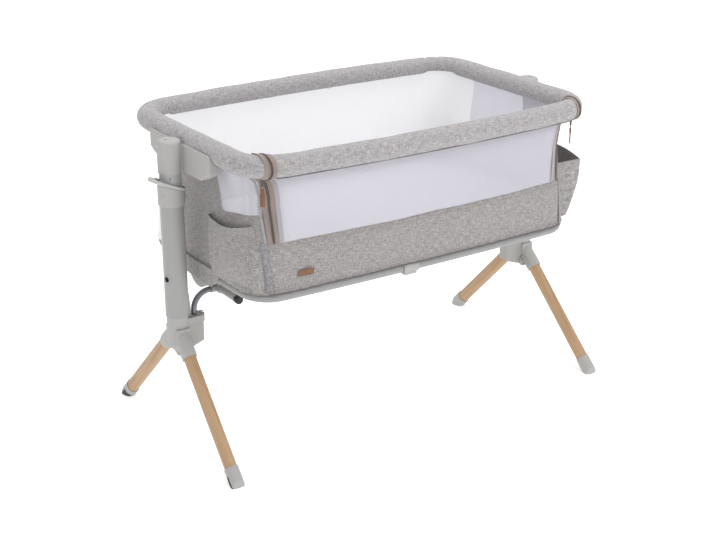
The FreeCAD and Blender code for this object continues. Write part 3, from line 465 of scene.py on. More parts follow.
class Workshop:
    """Makes each finish's material once and hands it out."""

    def __init__(self, finishes: Finishes) -> None:
        """Args: finishes: the finishes to draw from."""
        self.finishes = finishes
        self.made: dict[str, bpy.types.Material] = {}

    def get(self, finish: str) -> bpy.types.Material:
        """The material of a named finish."""
        if finish not in self.made:
            self.made[finish] = getattr(self.finishes, finish).material()
        return self.made[finish]

    def dress(self, node: bpy.types.Object, finish: str) -> None:
        """Gives a CAD node its material."""
        node.data.materials.clear()
        node.data.materials.append(self.get(finish))


# ---------------------------------------------------------------- outlines
@dataclass(frozen=True)
class Plan:
    """A rounded rectangle with slightly bowed sides, seen from above, in millimetres."""

    half_length: float
    half_width: float
    bow_long: float
    bow_short: float
    corner: float

    def outline(self, steps: int = 48) -> np.ndarray:
        """Points in metres on the closed line, anticlockwise from the front's left end.

        Args:
            steps: points on each of the eight arcs.

        Returns:
            An array of 8 * steps points (x, y).
        """
        long_radius = (self.half_length ** 2 + self.bow_long ** 2) / (2 * self.bow_long)
        short_radius = (self.half_width ** 2 + self.bow_short ** 2) / (2 * self.bow_short)
        front = np.array([0.0, long_radius - self.half_width])
        right = np.array([self.half_length - short_radius, 0.0])
        near, far = long_radius - self.corner, short_radius - self.corner
        span = right - front
        size = float(np.hypot(*span))
        along = (near ** 2 - far ** 2 + size ** 2) / (2 * size)
        aside = math.sqrt(near ** 2 - along ** 2)
        way = span / size
        square = np.array([way[1], -way[0]])
        foot = front + way * along
        centre = max((foot + square * aside, foot - square * aside), key=lambda p: p[0] - p[1])
        lean = math.atan2(centre[0] - front[0], front[1] - centre[1])
        rise = math.atan2(centre[1] - right[1], centre[0] - right[0])

        def sweep(middle: np.ndarray, radius: float, start: float, end: float) -> np.ndarray:
            """Points on one arc, its end left out."""
            turn = np.linspace(start, end, steps, endpoint=False)
            return middle + radius * np.c_[np.cos(turn), np.sin(turn)]

        down = -math.pi / 2
        quarter = [sweep(front, long_radius, down, down + lean), sweep(centre, self.corner, down + lean, rise),
                   sweep(right, short_radius, rise, 0.0)]
        first = np.vstack(quarter)
        half = np.vstack([first, self.flip(np.vstack([first[1:], [[self.half_length, 0.0]]]), 1, -1)])
        left = self.flip(half, -1, 1)
        return np.vstack([half, left[1:-1]]) * MM

    @staticmethod
    def flip(points: np.ndarray, x: int, y: int) -> np.ndarray:
        """The points mirrored, in reverse order."""
        return (points * np.array([x, y]))[::-1]


class Run:
    """A closed line with its length, directions and outward normals."""

    def __init__(self, points: np.ndarray) -> None:
        """Args: points: the closed line, anticlockwise, in metres."""
        self.points = points
        ahead = np.roll(points, -1, 0)
        behind = np.roll(points, 1, 0)
        way = ahead - behind
        self.tangent = way / np.linalg.norm(way, axis=1, keepdims=True)
        self.normal = np.c_[self.tangent[:, 1], -self.tangent[:, 0]]
        steps = np.linalg.norm(ahead - points, axis=1)
        self.length = np.concatenate([[0.0], np.cumsum(steps)[:-1]])
        self.total = float(steps.sum())
        self.tree = KDTree(len(points))
        for index, (x, y) in enumerate(points):
            self.tree.insert((x, y, 0.0), index)
        self.tree.balance()

    def nearest(self, x: float, y: float) -> int:
        """Index of the line's point closest to a place."""
        return self.tree.find((x, y, 0.0))[1]

    def near(self, x: float, y: float) -> tuple[float, np.ndarray]:
        """Distance along the line and outward normal at the closest place.

        Args:
            x, y: a point near the line.
        """
        index = self.nearest(x, y)
        offset = np.array([x, y]) - self.points[index]
        return float(self.length[index] + offset @ self.tangent[index]), self.normal[index]


RAIL = Plan(424.0, 274.0, 21.0, 6.0, 78.0)
RAIL_Z = 663 * MM
RAIL_RADIUS = 23.5 * MM
ZIP_X = 391 * MM
ZIP_RAIL_Y = -245 * MM
HINGE_Z = 497 * MM
HEM_Z = 391 * MM
GATE_EDGE_Z = (0.497, 0.590, 0.622, 0.641)
GATE_EDGE_X = (0.366, 0.3715, 0.3775, 0.3905)
SIDES = ((-1, "left"), (1, "right"))


@lru_cache(maxsize=None)
def rail_run() -> Run:
    """The middle line of the padded rail."""
    return Run(RAIL.outline(96))


class Wall:
    """The basket's wall surface, from the hem up to the rail."""

    LEVELS: tuple[tuple[float, Plan], ...] = (
        (0.391, Plan(420.0, 250.5, 9.0, 5.0, 63.0)),
        (0.444, Plan(413.5, 250.2, 12.0, 5.0, 65.0)),
        (0.497, Plan(407.0, 250.0, 15.0, 5.0, 67.0)),
        (0.575, Plan(401.0, 252.0, 19.0, 5.0, 73.0)),
        (0.640, Plan(408.0, 258.0, 20.0, 6.0, 75.0)),
        (0.656, Plan(405.5, 255.5, 20.5, 6.0, 66.0)),
    )
    HINGE_LEVEL = 2
    FRONT_Y = -0.1
    END_X = 0.33

    def __init__(self) -> None:
        """Lays out the six levels."""
        self.heights = np.array([z for z, _ in self.LEVELS])
        self.lines = np.array([plan.outline() for _, plan in self.LEVELS])
        self.run = Run(self.lines[self.HINGE_LEVEL])

    def section(self, z: float) -> np.ndarray:
        """The closed line of the wall at height z."""
        z = float(np.clip(z, self.heights[0], self.heights[-1]))
        index = int(np.clip(np.searchsorted(self.heights, z) - 1, 0, len(self.heights) - 2))
        share = (z - self.heights[index]) / (self.heights[index + 1] - self.heights[index])
        return self.lines[index] * (1 - share) + self.lines[index + 1] * share

    def lifted(self, x: float, y: float, z: float, lift: float) -> Vector:
        """The point (x, y, z) moved out of the wall by the lift."""
        normal = self.run.normal[self.run.nearest(x, y)]
        return Vector((x + normal[0] * lift, y + normal[1] * lift, z))

    def front_at(self, x: float, z: float, lift: float = 0.0) -> Vector:
        """A point on the bed side's smooth wall.

        Args:
            x: place along the length.
            z: height.
            lift: distance out from the wall.
        """
        line = self.section(z)
        front = line[line[:, 1] < self.FRONT_Y]
        front = front[np.argsort(front[:, 0])]
        return self.lifted(x, float(np.interp(x, front[:, 0], front[:, 1])), z, lift)

    def end_at(self, side: int, y: float, z: float, lift: float = 0.0) -> Vector:
        """A point on an end's smooth wall.

        Args:
            side: -1 for the left end.
            y: place across the width.
            z: height.
            lift: distance out from the wall.
        """
        line = self.section(z)
        end = line[line[:, 0] * side > self.END_X]
        end = end[np.argsort(end[:, 1])]
        return self.lifted(float(np.interp(y, end[:, 1], np.abs(end[:, 0]))) * side, y, z, lift)

    def rippled(self, point: Vector) -> Vector:
        """The point carried along by the cloth's ripples."""
        u, out = self.run.near(point.x, point.y)
        move = RIPPLES.height(u, point.z)
        return Vector((point.x + out[0] * move, point.y + out[1] * move, point.z))

    def front_line(self, xs: Iterable[float], z: float, lift: float) -> list[Vector]:
        """A level line along the bed side's rippled cloth."""
        return [self.rippled(self.front_at(x, z, lift)) for x in xs]

    def outward(self, line: Sequence[Vector]) -> list[Vector]:
        """The wall's outward direction at each point of a line."""
        return [Vector((*self.run.near(p.x, p.y)[1], 0)) for p in line]

    def runs(self, bm: bmesh.types.BMesh) -> dict[int, tuple[float, np.ndarray]]:
        """Each vertex's distance along the wall and outward normal."""
        return {vert.index: self.run.near(vert.co.x, vert.co.y) for vert in bm.verts}


def gate_edge(z: float) -> float:
    """Half width of the gate's cloth at height z."""
    return float(np.interp(z, GATE_EDGE_Z, GATE_EDGE_X))


@dataclass(frozen=True)
class Ripples:
    """How the hanging cloth stands out: heights in millimetres, pitches in radians per metre."""

    sag: float = 1.5
    sag_along: float = 17.0
    sag_up: float = 15.0
    sag_lean: float = 21.0
    wave: float = 0.8
    wave_along: float = 41.0
    wave_up: float = 33.0
    hem: float = 1.0
    hem_along: float = 210.0
    hem_reach: float = 16 * MM
    fold: float = 0.5
    fold_along: float = 160.0
    fold_reach: float = 12 * MM
    top_z: float = 650 * MM
    top_reach: float = 30 * MM

    def height(self, u: float, z: float) -> float:
        """How far the cloth stands out, in metres.

        Args:
            u: distance along the wall.
            z: height above the floor.
        """
        slack = self.sag * math.sin(u * self.sag_along + 1.2 * math.sin(z * self.sag_lean))
        slack *= math.sin((z - HEM_Z) * self.sag_up)
        slack += self.wave * math.sin(u * self.wave_along + z * self.wave_up + 0.7)
        near_hem = math.exp(-max(z - HEM_Z, 0.0) / self.hem_reach)
        slack += self.hem * near_hem * math.sin(u * self.hem_along + 2.0 * math.sin(u * 13.0))
        near_fold = math.exp(-abs(z - HINGE_Z) / self.fold_reach)
        slack += self.fold * near_fold * math.sin(u * self.fold_along + 1.5 * math.sin(u * 19.0))
        return slack * clamped((self.top_z - z) / self.top_reach) * MM


RIPPLES = Ripples()


def clamped(value: float) -> float:
    """The value kept from 0 to 1."""
    return min(max(value, 0.0), 1.0)


# ---------------------------------------------------------------- mesh helpers
def new_object(name: str, data: bpy.types.ID) -> bpy.types.Object:
    """Links a mesh or curve to the scene as an object at the origin."""
    made = bpy.data.objects.new(name, data)
    bpy.context.scene.collection.objects.link(made)
    return made


def mesh_from(bm: bmesh.types.BMesh, name: str, materials: Iterable[bpy.types.Material],
              sharp: float = 35.0) -> bpy.types.Object:
    """Turns a bmesh into a smooth-shaded object.

    Args:
        bm: the shape; it is freed.
        name: the object's name.
        materials: its material slots.
        sharp: angle in degrees past which an edge stays sharp.
    """
    mesh = bpy.data.meshes.new(name)
    bm.to_mesh(mesh)
    bm.free()
    for material in materials:
        mesh.materials.append(material)
    mesh.shade_smooth()
    mesh.set_sharp_from_angle(angle=math.radians(sharp))
    return new_object(name, mesh)


def baked(item: bpy.types.Object) -> bpy.types.Mesh:
    """The mesh that the object's modifiers make, after which it has none."""
    graph = bpy.context.evaluated_depsgraph_get()
    mesh = bpy.data.meshes.new_from_object(item.evaluated_get(graph), depsgraph=graph)
    item.modifiers.clear()
    return mesh


MOST_HALVINGS = 9


def divided(node: bpy.types.Object, limit: float) -> bmesh.types.BMesh:
    """A merged copy of a CAD node's mesh with no edge longer than the limit."""
    bm = bmesh.new()
    bm.from_mesh(node.data)
    bmesh.ops.remove_doubles(bm, verts=bm.verts, dist=MERGE)
    for _ in range(MOST_HALVINGS):
        long_edges = [edge for edge in bm.edges if edge.calc_length() > limit]
        if not long_edges:
            break
        bmesh.ops.subdivide_edges(bm, edges=long_edges, cuts=1, use_grid_fill=False)
        bmesh.ops.triangulate(bm, faces=[face for face in bm.faces if len(face.verts) > 3])
    bm.normal_update()
    return bm


def closed_up(bm: bmesh.types.BMesh) -> bmesh.types.BMesh:
    """Fills a skin's open ends and turns its faces outwards."""
    bmesh.ops.holes_fill(bm, edges=[edge for edge in bm.edges if edge.is_boundary], sides=0)
    bmesh.ops.recalc_face_normals(bm, faces=bm.faces)
    return bm


def hand_over(piece: bpy.types.Object, body: str, node: Optional[str] = None) -> bpy.types.Object:
    """Gives a finished piece to its body.

    Args:
        piece: the finished piece.
        body: the CAD body that it moves with.
        node: the CAD node that it stands for, if any.

    Returns:
        The piece.
    """
    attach(piece, body)
    if node:
        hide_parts(node)
    return piece


def tube_grid(bm: bmesh.types.BMesh, rings: Sequence[Sequence[Vector]],
              uv: Sequence[Sequence[tuple[float, float]]], closed: bool) -> None:
    """Joins rings of points into a skin.

    Args:
        bm: where the skin goes.
        rings: points of each ring.
        uv: the cloth's run at each point, one more than the ring's points.
        closed: whether each ring is a closed loop.
    """
    layer = bm.loops.layers.uv.verify()
    verts = [[bm.verts.new(point) for point in ring] for ring in rings]
    width = len(rings[0])
    last = width if closed else width - 1
    for i in range(len(rings) - 1):
        for j in range(last):
            k = (j + 1) % width
            face = bm.faces.new((verts[i][j], verts[i][k], verts[i + 1][k], verts[i + 1][j]))
            for loop, (a, b) in zip(face.loops, ((i, j), (i, j + 1), (i + 1, j + 1), (i + 1, j))):
                loop[layer].uv = uv[a][b]


def ribbon(name: str, path: Sequence[Vector], out: Sequence[Vector], width: float, thick: float,
           material: bpy.types.Material) -> bpy.types.Object:
    """A flat band of cloth along a path, with its face towards out.

    Args:
        name: the object's name.
        path: middle line.
        out: outward direction at each point.
        width, thick: the band's section.
        material: its cloth.
    """
    half, deep = width / 2, thick / 2
    shape = [(-half, -deep), (half, -deep), (half, deep * 0.4), (half * 0.82, deep), (-half * 0.82, deep),
             (-half, deep * 0.4)]
    corners = len(shape)
    rings, uv, run = [], [], 0.0
    for index, point in enumerate(path):
        ahead = path[min(index + 1, len(path) - 1)] - path[max(index - 1, 0)]
        run += (point - path[index - 1]).length if index else 0.0
        side = ahead.normalized().cross(out[index]).normalized()
        lift = side.cross(ahead.normalized()).normalized()
        rings.append([point + side * a + lift * b for a, b in shape])
        uv.append([(run, j / corners * width) for j in range(corners + 1)])
    bm = bmesh.new()
    tube_grid(bm, rings, uv, True)
    return mesh_from(closed_up(bm), name, [material])


def joined(name: str, parts: Sequence[bpy.types.Object]) -> bpy.types.Object:
    """Joins objects at the origin into one mesh."""
    bm = bmesh.new()
    materials: list[bpy.types.Material] = []
    for part in parts:
        shift = {}
        for index, material in enumerate(part.data.materials):
            if material not in materials:
                materials.append(material)
            shift[index] = materials.index(material)
        before = len(bm.faces)
        bm.from_mesh(part.data)
        bm.faces.ensure_lookup_table()
        for face in bm.faces[before:]:
            face.material_index = shift.get(face.material_index, 0)
    for part in parts:
        bpy.data.objects.remove(part)
    return mesh_from(bm, name, materials)


# ---------------------------------------------------------------- repeats along a line
class Repeat(Enum):
    """What a Geometry Nodes tree puts along a line."""

    STITCH = "stitch"
    TOOTH = "tooth"


class LineOfPieces:
    """Geometry Nodes tree that repeats a small block along a line."""

    def __init__(self, kind: Repeat) -> None:
        """Args: kind: what is repeated."""
        self.tree = bpy.data.node_groups.new("along_line_" + kind.value, "GeometryNodeTree")
        face = self.tree.interface
        face.new_socket("Geometry", in_out="INPUT", socket_type="NodeSocketGeometry")
        self.sockets = {label: face.new_socket(label, in_out="INPUT", socket_type="NodeSocket" + kind_of).identifier
                        for label, kind_of in (("Spacing", "Float"), ("Length", "Float"), ("Width", "Float"),
                                               ("Finish", "Material"))}
        face.new_socket("Geometry", in_out="OUTPUT", socket_type="NodeSocketGeometry")
        self.build()

    def build(self) -> None:
        """Wires the tree, from the line to the coloured pieces."""
        start, end, points, size, block, place, real, paint = (
            self.tree.nodes.new(kind) for kind in (
                "NodeGroupInput", "NodeGroupOutput", "GeometryNodeCurveToPoints", "ShaderNodeCombineXYZ",
                "GeometryNodeMeshCube", "GeometryNodeInstanceOnPoints", "GeometryNodeRealizeInstances",
                "GeometryNodeSetMaterial"))
        points.mode = "LENGTH"
        for source, output, target, entry in (
                (start, "Geometry", points, "Curve"), (start, "Spacing", points, "Length"),
                (start, "Width", size, "X"), (start, "Width", size, "Y"), (start, "Length", size, "Z"),
                (size, "Vector", block, "Size"), (points, "Points", place, "Points"),
                (points, "Rotation", place, "Rotation"), (block, "Mesh", place, "Instance"),
                (place, "Instances", real, "Geometry"), (real, "Geometry", paint, "Geometry"),
                (start, "Finish", paint, "Material"), (paint, "Geometry", end, "Geometry")):
            self.tree.links.new(source.outputs[output], target.inputs[entry])

    def lay(self, name: str, lines: Sequence[Sequence[Vector]], spacing: float, length: float, width: float,
            finish: bpy.types.Material) -> bpy.types.Object:
        """Lays the pieces along lines and returns them as one plain mesh.

        Args:
            name: the piece's name.
            lines: the lines' points.
            spacing: distance between pieces.
            length, width: each piece's size.
            finish: its material.
        """
        curve = bpy.data.curves.new(name + "_line", "CURVE")
        curve.dimensions = "3D"
        for line in lines:
            spline = curve.splines.new("POLY")
            spline.points.add(len(line) - 1)
            for point, place in zip(spline.points, line):
                point.co = (*place, 1.0)
        holder = new_object(name + "_line", curve)
        modifier = holder.modifiers.new("pieces", "NODES")
        modifier.node_group = self.tree
        for label, value in (("Spacing", spacing), ("Length", length), ("Width", width), ("Finish", finish)):
            modifier[self.sockets[label]] = value
        mesh = baked(holder)
        bpy.data.objects.remove(holder)
        mesh.name = name
        if not mesh.materials:
            mesh.materials.append(finish)
        return new_object(name, mesh)


# ---------------------------------------------------------------- padded rail
@dataclass
class PaddedRail:
    """Foam-filled cloth sleeve round the top tube, in a gate part and a fixed part."""

    workshop: Workshop
    around: int = 48
    step: float = 3.2 * MM
    reach: float = 40 * MM
    gap: float = 0.5 * MM
    sharp: float = 50.0
    seams: tuple[tuple[float, float], ...] = ((0.364, 0.266), (0.390, 0.250))
    # Heights of wrinkles and depths of seams in millimetres; reaches along the rail in metres.
    long_wave: float = 0.45
    short_wave: float = 0.3
    gathers: float = 0.9
    gather_depth: float = 0.5
    tightness: float = 0.4
    seam_depth: float = 2.4
    seam_reach: float = 2.6 * MM
    under_seam: float = 1.2
    under_reach: float = 0.16
    corner: tuple[float, float] = (0.36, 0.20)
    sharp_corner: int = 8
    fill: float = 0.85
    run: Run = field(default_factory=rail_run)
    seam_runs: list[float] = field(default_factory=list)

    def swell(self, s: float, turn: float, bend: float) -> float:
        """Radius of the sleeve with its wrinkles and seams, in metres.

        Args:
            s: distance along the rail.
            turn: angle round it, 0 outwards, a quarter turn up.
            bend: 1 in a corner and 0 on a straight.

        Returns:
            The radius.
        """
        soft = self.long_wave * math.sin(s * 23 + 2 * math.sin(turn + s * 7))
        soft += self.short_wave * math.sin(s * 61 + turn * 3)
        gather = self.gathers * math.sin(s * 520 + 2.2 * math.sin(turn * 2)) - self.gather_depth
        gather *= bend * max(-math.cos(turn), 0.0)
        drawn = self.under_seam * math.exp(-((turn + math.pi / 2) / self.under_reach) ** 2)
        for place in self.seam_runs:
            drawn += self.seam_depth * math.exp(-((s % self.run.total - place) / self.seam_reach) ** 2)
        return RAIL_RADIUS + (soft + gather - drawn - self.tightness) * MM

    def sweep(self, first: float, last: float) -> bmesh.types.BMesh:
        """The sleeve's skin between two places along the rail.

        Args:
            first, last: distances along the rail, which may pass its start.

        Returns:
            The open skin, with the cloth's run as UV.
        """
        rings, uv = [], []
        length = np.append(self.run.length, self.run.total)
        table = np.vstack([np.c_[self.run.points, self.run.normal], [[*self.run.points[0], *self.run.normal[0]]]])
        turns = [2 * math.pi * j / self.around for j in range(self.around + 1)]
        for s in np.linspace(first, last, int((last - first) / self.step)):
            x, y, nx, ny = (np.interp(s % self.run.total, length, column) for column in table.T)
            out = Vector((nx, ny, 0)).normalized()
            bend = (clamped(abs(x) / self.corner[0]) * clamped(abs(y) / self.corner[1])) ** self.sharp_corner
            centre = Vector((x, y, RAIL_Z))
            ring = []
            for turn in turns[:-1]:
                turn = turn if turn <= math.pi else turn - 2 * math.pi
                size = self.swell(s, turn, bend)
                ring.append(centre + out * (math.cos(turn) * size) + Vector((0, 0, math.sin(turn) * size)))
            rings.append(ring)
            uv.append([(s, turn * RAIL_RADIUS) for turn in turns])
        bm = bmesh.new()
        tube_grid(bm, rings, uv, True)
        return bm

    @staticmethod
    def at_corner(part: object, side: int) -> bool:
        """Whether a vertex, edge or face lies on the bed side, towards one end."""
        verts = [part] if isinstance(part, bmesh.types.BMVert) else part.verts
        return all(vert.co.y < 0 and vert.co.x * side > 0 for vert in verts)

    def build(self) -> list[bpy.types.Object]:
        """Makes both sleeves, cut square at the zips, and hands them to their bodies."""
        self.seam_runs = [self.run.near(x, y)[0] for x, y in self.seams]
        left, right = (self.run.near(side * ZIP_X, ZIP_RAIL_Y)[0] for side, _ in SIDES)
        if left > right:
            left -= self.run.total
        pieces = []
        for part, body, first, last, keep in (("gate", "gate", left, right, 1),
                                              ("upper", "basket", right, left + self.run.total, -1)):
            bm = self.sweep(first - self.reach, last + self.reach)
            for side in (1, -1):
                near = [item for item in (*bm.verts, *bm.edges, *bm.faces) if self.at_corner(item, side)]
                bmesh.ops.bisect_plane(bm, geom=near, plane_co=(side * (ZIP_X - keep * self.gap), 0, 0),
                                       plane_no=(side * keep, 0, 0), clear_outer=True)
            piece = mesh_from(closed_up(bm), part + "_rail_sleeve", [self.workshop.get("rail")], self.sharp)
            hand_over(piece, body, part + "_rail_padding")
            pieces.append(piece)
        return pieces


# ---------------------------------------------------------------- cloth basket
class Face(Enum):
    """Which cloth lies on a wall's outside."""

    FABRIC = "melange"
    WHITE = "lining"
    NET = "net"


@dataclass(frozen=True)
class PanelCut:
    """One cloth panel: its CAD node, body, outer face and flat size in metres."""

    node: str
    face: Face
    slot: str
    flat: tuple[float, float]
    inside: str = "lining"
    body: str = "basket"


@dataclass
class ClothWalls:
    """Panels, windows and gate net of the basket."""

    workshop: Workshop
    wall: Wall
    frame: dict
    limit: float = 9 * MM
    inward: float = -0.2
    cuts: tuple[PanelCut, ...] = (
        PanelCut("front_panel", Face.FABRIC, "grey_cloth", (0.80, 0.11)),
        PanelCut("back_panel", Face.WHITE, "white_cloth", (1.25, 0.27)),
        PanelCut("left_end_panel", Face.FABRIC, "grey_cloth", (0.56, 0.30), "end_lining"),
        PanelCut("right_end_panel", Face.FABRIC, "grey_cloth", (0.56, 0.30), "end_lining"),
        PanelCut("left_end_window", Face.NET, "mesh", (0.30, 0.13), "net"),
        PanelCut("right_end_window", Face.NET, "mesh", (0.30, 0.13), "net"),
        PanelCut("gate_window", Face.NET, "mesh", (0.79, 0.16), "net", "gate"),
    )

    def shaped(self, node: str) -> bmesh.types.BMesh:
        """The node's cloth, finely divided, rippled and given its run as UV."""
        bm = divided(self.frame["nodes"][node], self.limit)
        layer = bm.loops.layers.uv.verify()
        runs, total = self.wall.runs(bm), self.wall.run.total
        for face in bm.faces:
            first, out = runs[face.verts[0].index]
            for loop in face.loops:
                u = runs[loop.vert.index][0]
                loop[layer].uv = (u - round((u - first) / total) * total, loop.vert.co.z)
            face.material_index = int(face.normal.x * out[0] + face.normal.y * out[1] < self.inward)
        for vert in bm.verts:
            u, out = runs[vert.index]
            move = RIPPLES.height(u, vert.co.z)
            vert.co.x += out[0] * move
            vert.co.y += out[1] * move
        return bm

    def build(self) -> list[bpy.types.Object]:
        """Makes every panel and hands it to its body."""
        pieces = []
        for cut in self.cuts:
            cloths = [self.workshop.get(cut.face.value), self.workshop.get(cut.inside)]
            piece = mesh_from(self.shaped(cut.node), cut.node + "_cloth", cloths)
            hand_over(piece, cut.body, cut.node)
            pieces.append(piece)
        return pieces


@dataclass
class Pockets:
    """A gusseted pocket on each end wall; the left one hangs flatter."""

    workshop: Workshop
    wall: Wall
    frame: dict
    limit: float = 7 * MM
    flat: tuple[float, float] = (0.30, 0.15)
    pressed: float = 0.66
    pressed_from: float = 0.420
    pressed_over: float = 90 * MM
    kept_open: float = 3 * MM
    sewn_z: float = 0.396
    free_over: float = 50 * MM
    # Each soft fold's height in millimetres, and its pitch along and up the wall in radians per metre.
    folds: tuple[tuple[float, float, float], ...] = ((1.3, 47.0, 30.0), (0.8, -22.0, 75.0))

    def shaped(self, node: str, side: int) -> bmesh.types.BMesh:
        """The pocket's cloth with its soft folds and its run as UV.

        Args:
            node: the pocket's CAD node.
            side: -1 for the left end, whose pocket hangs flatter.

        Returns:
            The cloth.
        """
        bm = divided(self.frame["nodes"][node], self.limit)
        layer = bm.loops.layers.uv.verify()
        runs = self.wall.runs(bm)
        for face in bm.faces:
            for loop in face.loops:
                loop[layer].uv = (runs[loop.vert.index][0], loop.vert.co.z)
        for vert in bm.verts:
            u, out = runs[vert.index]
            z = vert.co.z
            if side < 0:
                stand = (vert.co.x - self.wall.end_at(side, vert.co.y, z).x) * out[0]
                share = clamped((z - self.pressed_from) / self.pressed_over)
                vert.co.x -= out[0] * max(stand - self.kept_open, 0.0) * share * self.pressed
            move = sum(height * math.sin(u * along + z * up) for height, along, up in self.folds) * MM
            move *= clamped((z - self.sewn_z) / self.free_over)
            vert.co.x += out[0] * move
            vert.co.y += out[1] * move
        return bm

    def build(self) -> list[bpy.types.Object]:
        """Makes both pockets from their CAD shells."""
        pieces = []
        for side, end in SIDES:
            node = end + "_pocket"
            piece = mesh_from(self.shaped(node, side), node + "_cloth", [self.workshop.get("melange")])
            hand_over(piece, "basket", node)
            pieces.append(piece)
        return pieces


# ---------------------------------------------------------------- zips
@dataclass
class ZipClosure:
    """Tapes, teeth and bindings down both sides of the gate."""

    workshop: Workshop
    wall: Wall
    frame: dict
    teeth: LineOfPieces
    tooth: tuple[float, float, float] = (2.2 * MM, 1.3 * MM, 1.9 * MM)
    tooth_lift: float = 1.6 * MM
    teeth_apart: tuple[float, float] = (1.5 * MM, -1.0 * MM)
    rail_teeth_apart: tuple[float, float] = (1.3 * MM, -1.3 * MM)
    line_points: int = 40
    rail_points: int = 46
    rail_turns: tuple[float, float] = (-2.0, 2.6)
    rail_y: float = -243 * MM
    tape_limit: float = 7 * MM
    tape_width: float = 21 * MM
    foot: tuple[float, float] = (0.353, 0.508)
    free_z: float = 0.640
    band_thick: float = 1.4 * MM
    band_from_cut: float = 14.5 * MM
    binding_lift: float = 0.7 * MM
    band_lift: float = 0.8 * MM
    band_top: float = 634 * MM
    band_joint: float = 499 * MM
    band_foot: float = HEM_Z + 3 * MM
    lower_band_z: tuple[float, float] = (0.391, 0.499)
    lower_band_x: tuple[float, float] = (0.380, 0.3835)
    binding_width: float = 9 * MM
    binding_flat: tuple[float, float] = (0.012, 0.28)
    upper_band_width: float = 5 * MM
    band_width: float = 13 * MM
    band_flat: tuple[float, float] = (0.014, 0.48)

    def cut_line(self, side: int, shift: float, lift: float, top: float = 0.6385,
                 foot: float = HINGE_Z + 1 * MM) -> list[Vector]:
        """Points down the gate's cut, on the rippled cloth.

        Args:
            side: -1 at the left end.
            shift: distance away from the gate's middle.
            lift: distance out of the wall.
            top, foot: heights of the line's ends.

        Returns:
            The line's points, from the top down.
        """
        return [self.wall.rippled(self.wall.front_at(side * (gate_edge(z) + shift), z, lift))
                for z in np.linspace(top, foot, self.line_points)]

    def rail_line(self, x: float) -> list[Vector]:
        """Points round the outside of the rail in the plane of the cut."""
        rail = rail_run()
        index = rail.nearest(x, self.rail_y)
        middle, size = rail.points[index][1], RAIL_RADIUS + self.tooth_lift
        stretch = size / abs(rail.normal[index][1])
        return [Vector((x, middle - math.cos(t) * stretch, RAIL_Z + math.sin(t) * size))
                for t in np.linspace(*self.rail_turns, self.rail_points)]

    def tape(self, node: str, body: str, width: float) -> bpy.types.Object:
        """A tape that follows the cloth's ripples, without its turned-in foot.

        Args:
            node: the tape's CAD node.
            body: the body that it moves with.
            width: the flat tape's width; not used.

        Returns:
            The tape.
        """
        bm = divided(self.frame["nodes"][node], self.tape_limit)
        foot = [vert for vert in bm.verts if abs(vert.co.x) < self.foot[0] and vert.co.z < self.foot[1]]
        bmesh.ops.delete(bm, geom=foot, context="VERTS")
        closed_up(bm)
        for vert in bm.verts:
            u, out = self.wall.run.near(vert.co.x, vert.co.y)
            move = RIPPLES.height(u, vert.co.z) if vert.co.z < self.free_z else 0.0
            vert.co.x += out[0] * move
            vert.co.y += out[1] * move
        piece = mesh_from(bm, node + "_cloth", [self.workshop.get("tape")])
        hand_over(piece, body, node)
        return piece

    def build(self) -> list[bpy.types.Object]:
        """Makes the tapes, the rows of teeth and the bindings."""
        pieces = [self.tape("left_zip_tape", "basket", self.tape_width),
                  self.tape("right_zip_tape", "basket", self.tape_width),
                  self.tape("gate_zip_tapes", "gate", 2 * self.tape_width)]
        for body, shift, rail_shift in zip(("basket", "gate"), self.teeth_apart, self.rail_teeth_apart):
            lines = []
            for side, _ in SIDES:
                lines.append(self.cut_line(side, shift, self.tooth_lift))
                lines.append(self.rail_line(side * (ZIP_X + rail_shift)))
            row = self.teeth.lay("zip_teeth_" + body, lines, *self.tooth, self.workshop.get("teeth"))
            pieces.append(hand_over(row, body))
        return pieces + self.bindings()

    def strip(self, line: Sequence[Vector], width: float, finish: str) -> bpy.types.Object:
        """A sewn-on strip along a line of the wall."""
        return ribbon("strip", line, self.wall.outward(line), width, self.band_thick, self.workshop.get(finish))

    def bindings(self) -> list[bpy.types.Object]:
        """Bindings beside the gate's tape and the bands at the basket's corners."""
        gate, bands = [], []
        for side, _ in SIDES:
            inner = self.cut_line(side, -self.band_from_cut, self.binding_lift)
            gate.append(self.strip(inner, self.binding_width, "binding"))
            upper = self.cut_line(side, self.band_from_cut, self.band_lift, self.band_top, self.band_joint)
            lower = []
            for z in np.linspace(self.band_joint, self.band_foot, self.line_points):
                x = side * float(np.interp(z, self.lower_band_z, self.lower_band_x))
                lower.append(self.wall.rippled(self.wall.front_at(x, z, self.band_lift)))
            bands += [self.strip(upper, self.upper_band_width, "binding"),
                      self.strip(lower, self.band_width, "band")]
        made = []
        for name, body, strips, flat in (("gate_binding", "gate", gate, self.binding_flat),
                                         ("corner_bands", "basket", bands, self.band_flat)):
            piece = hand_over(joined(name, strips), body)
            made.append(piece)
        return made


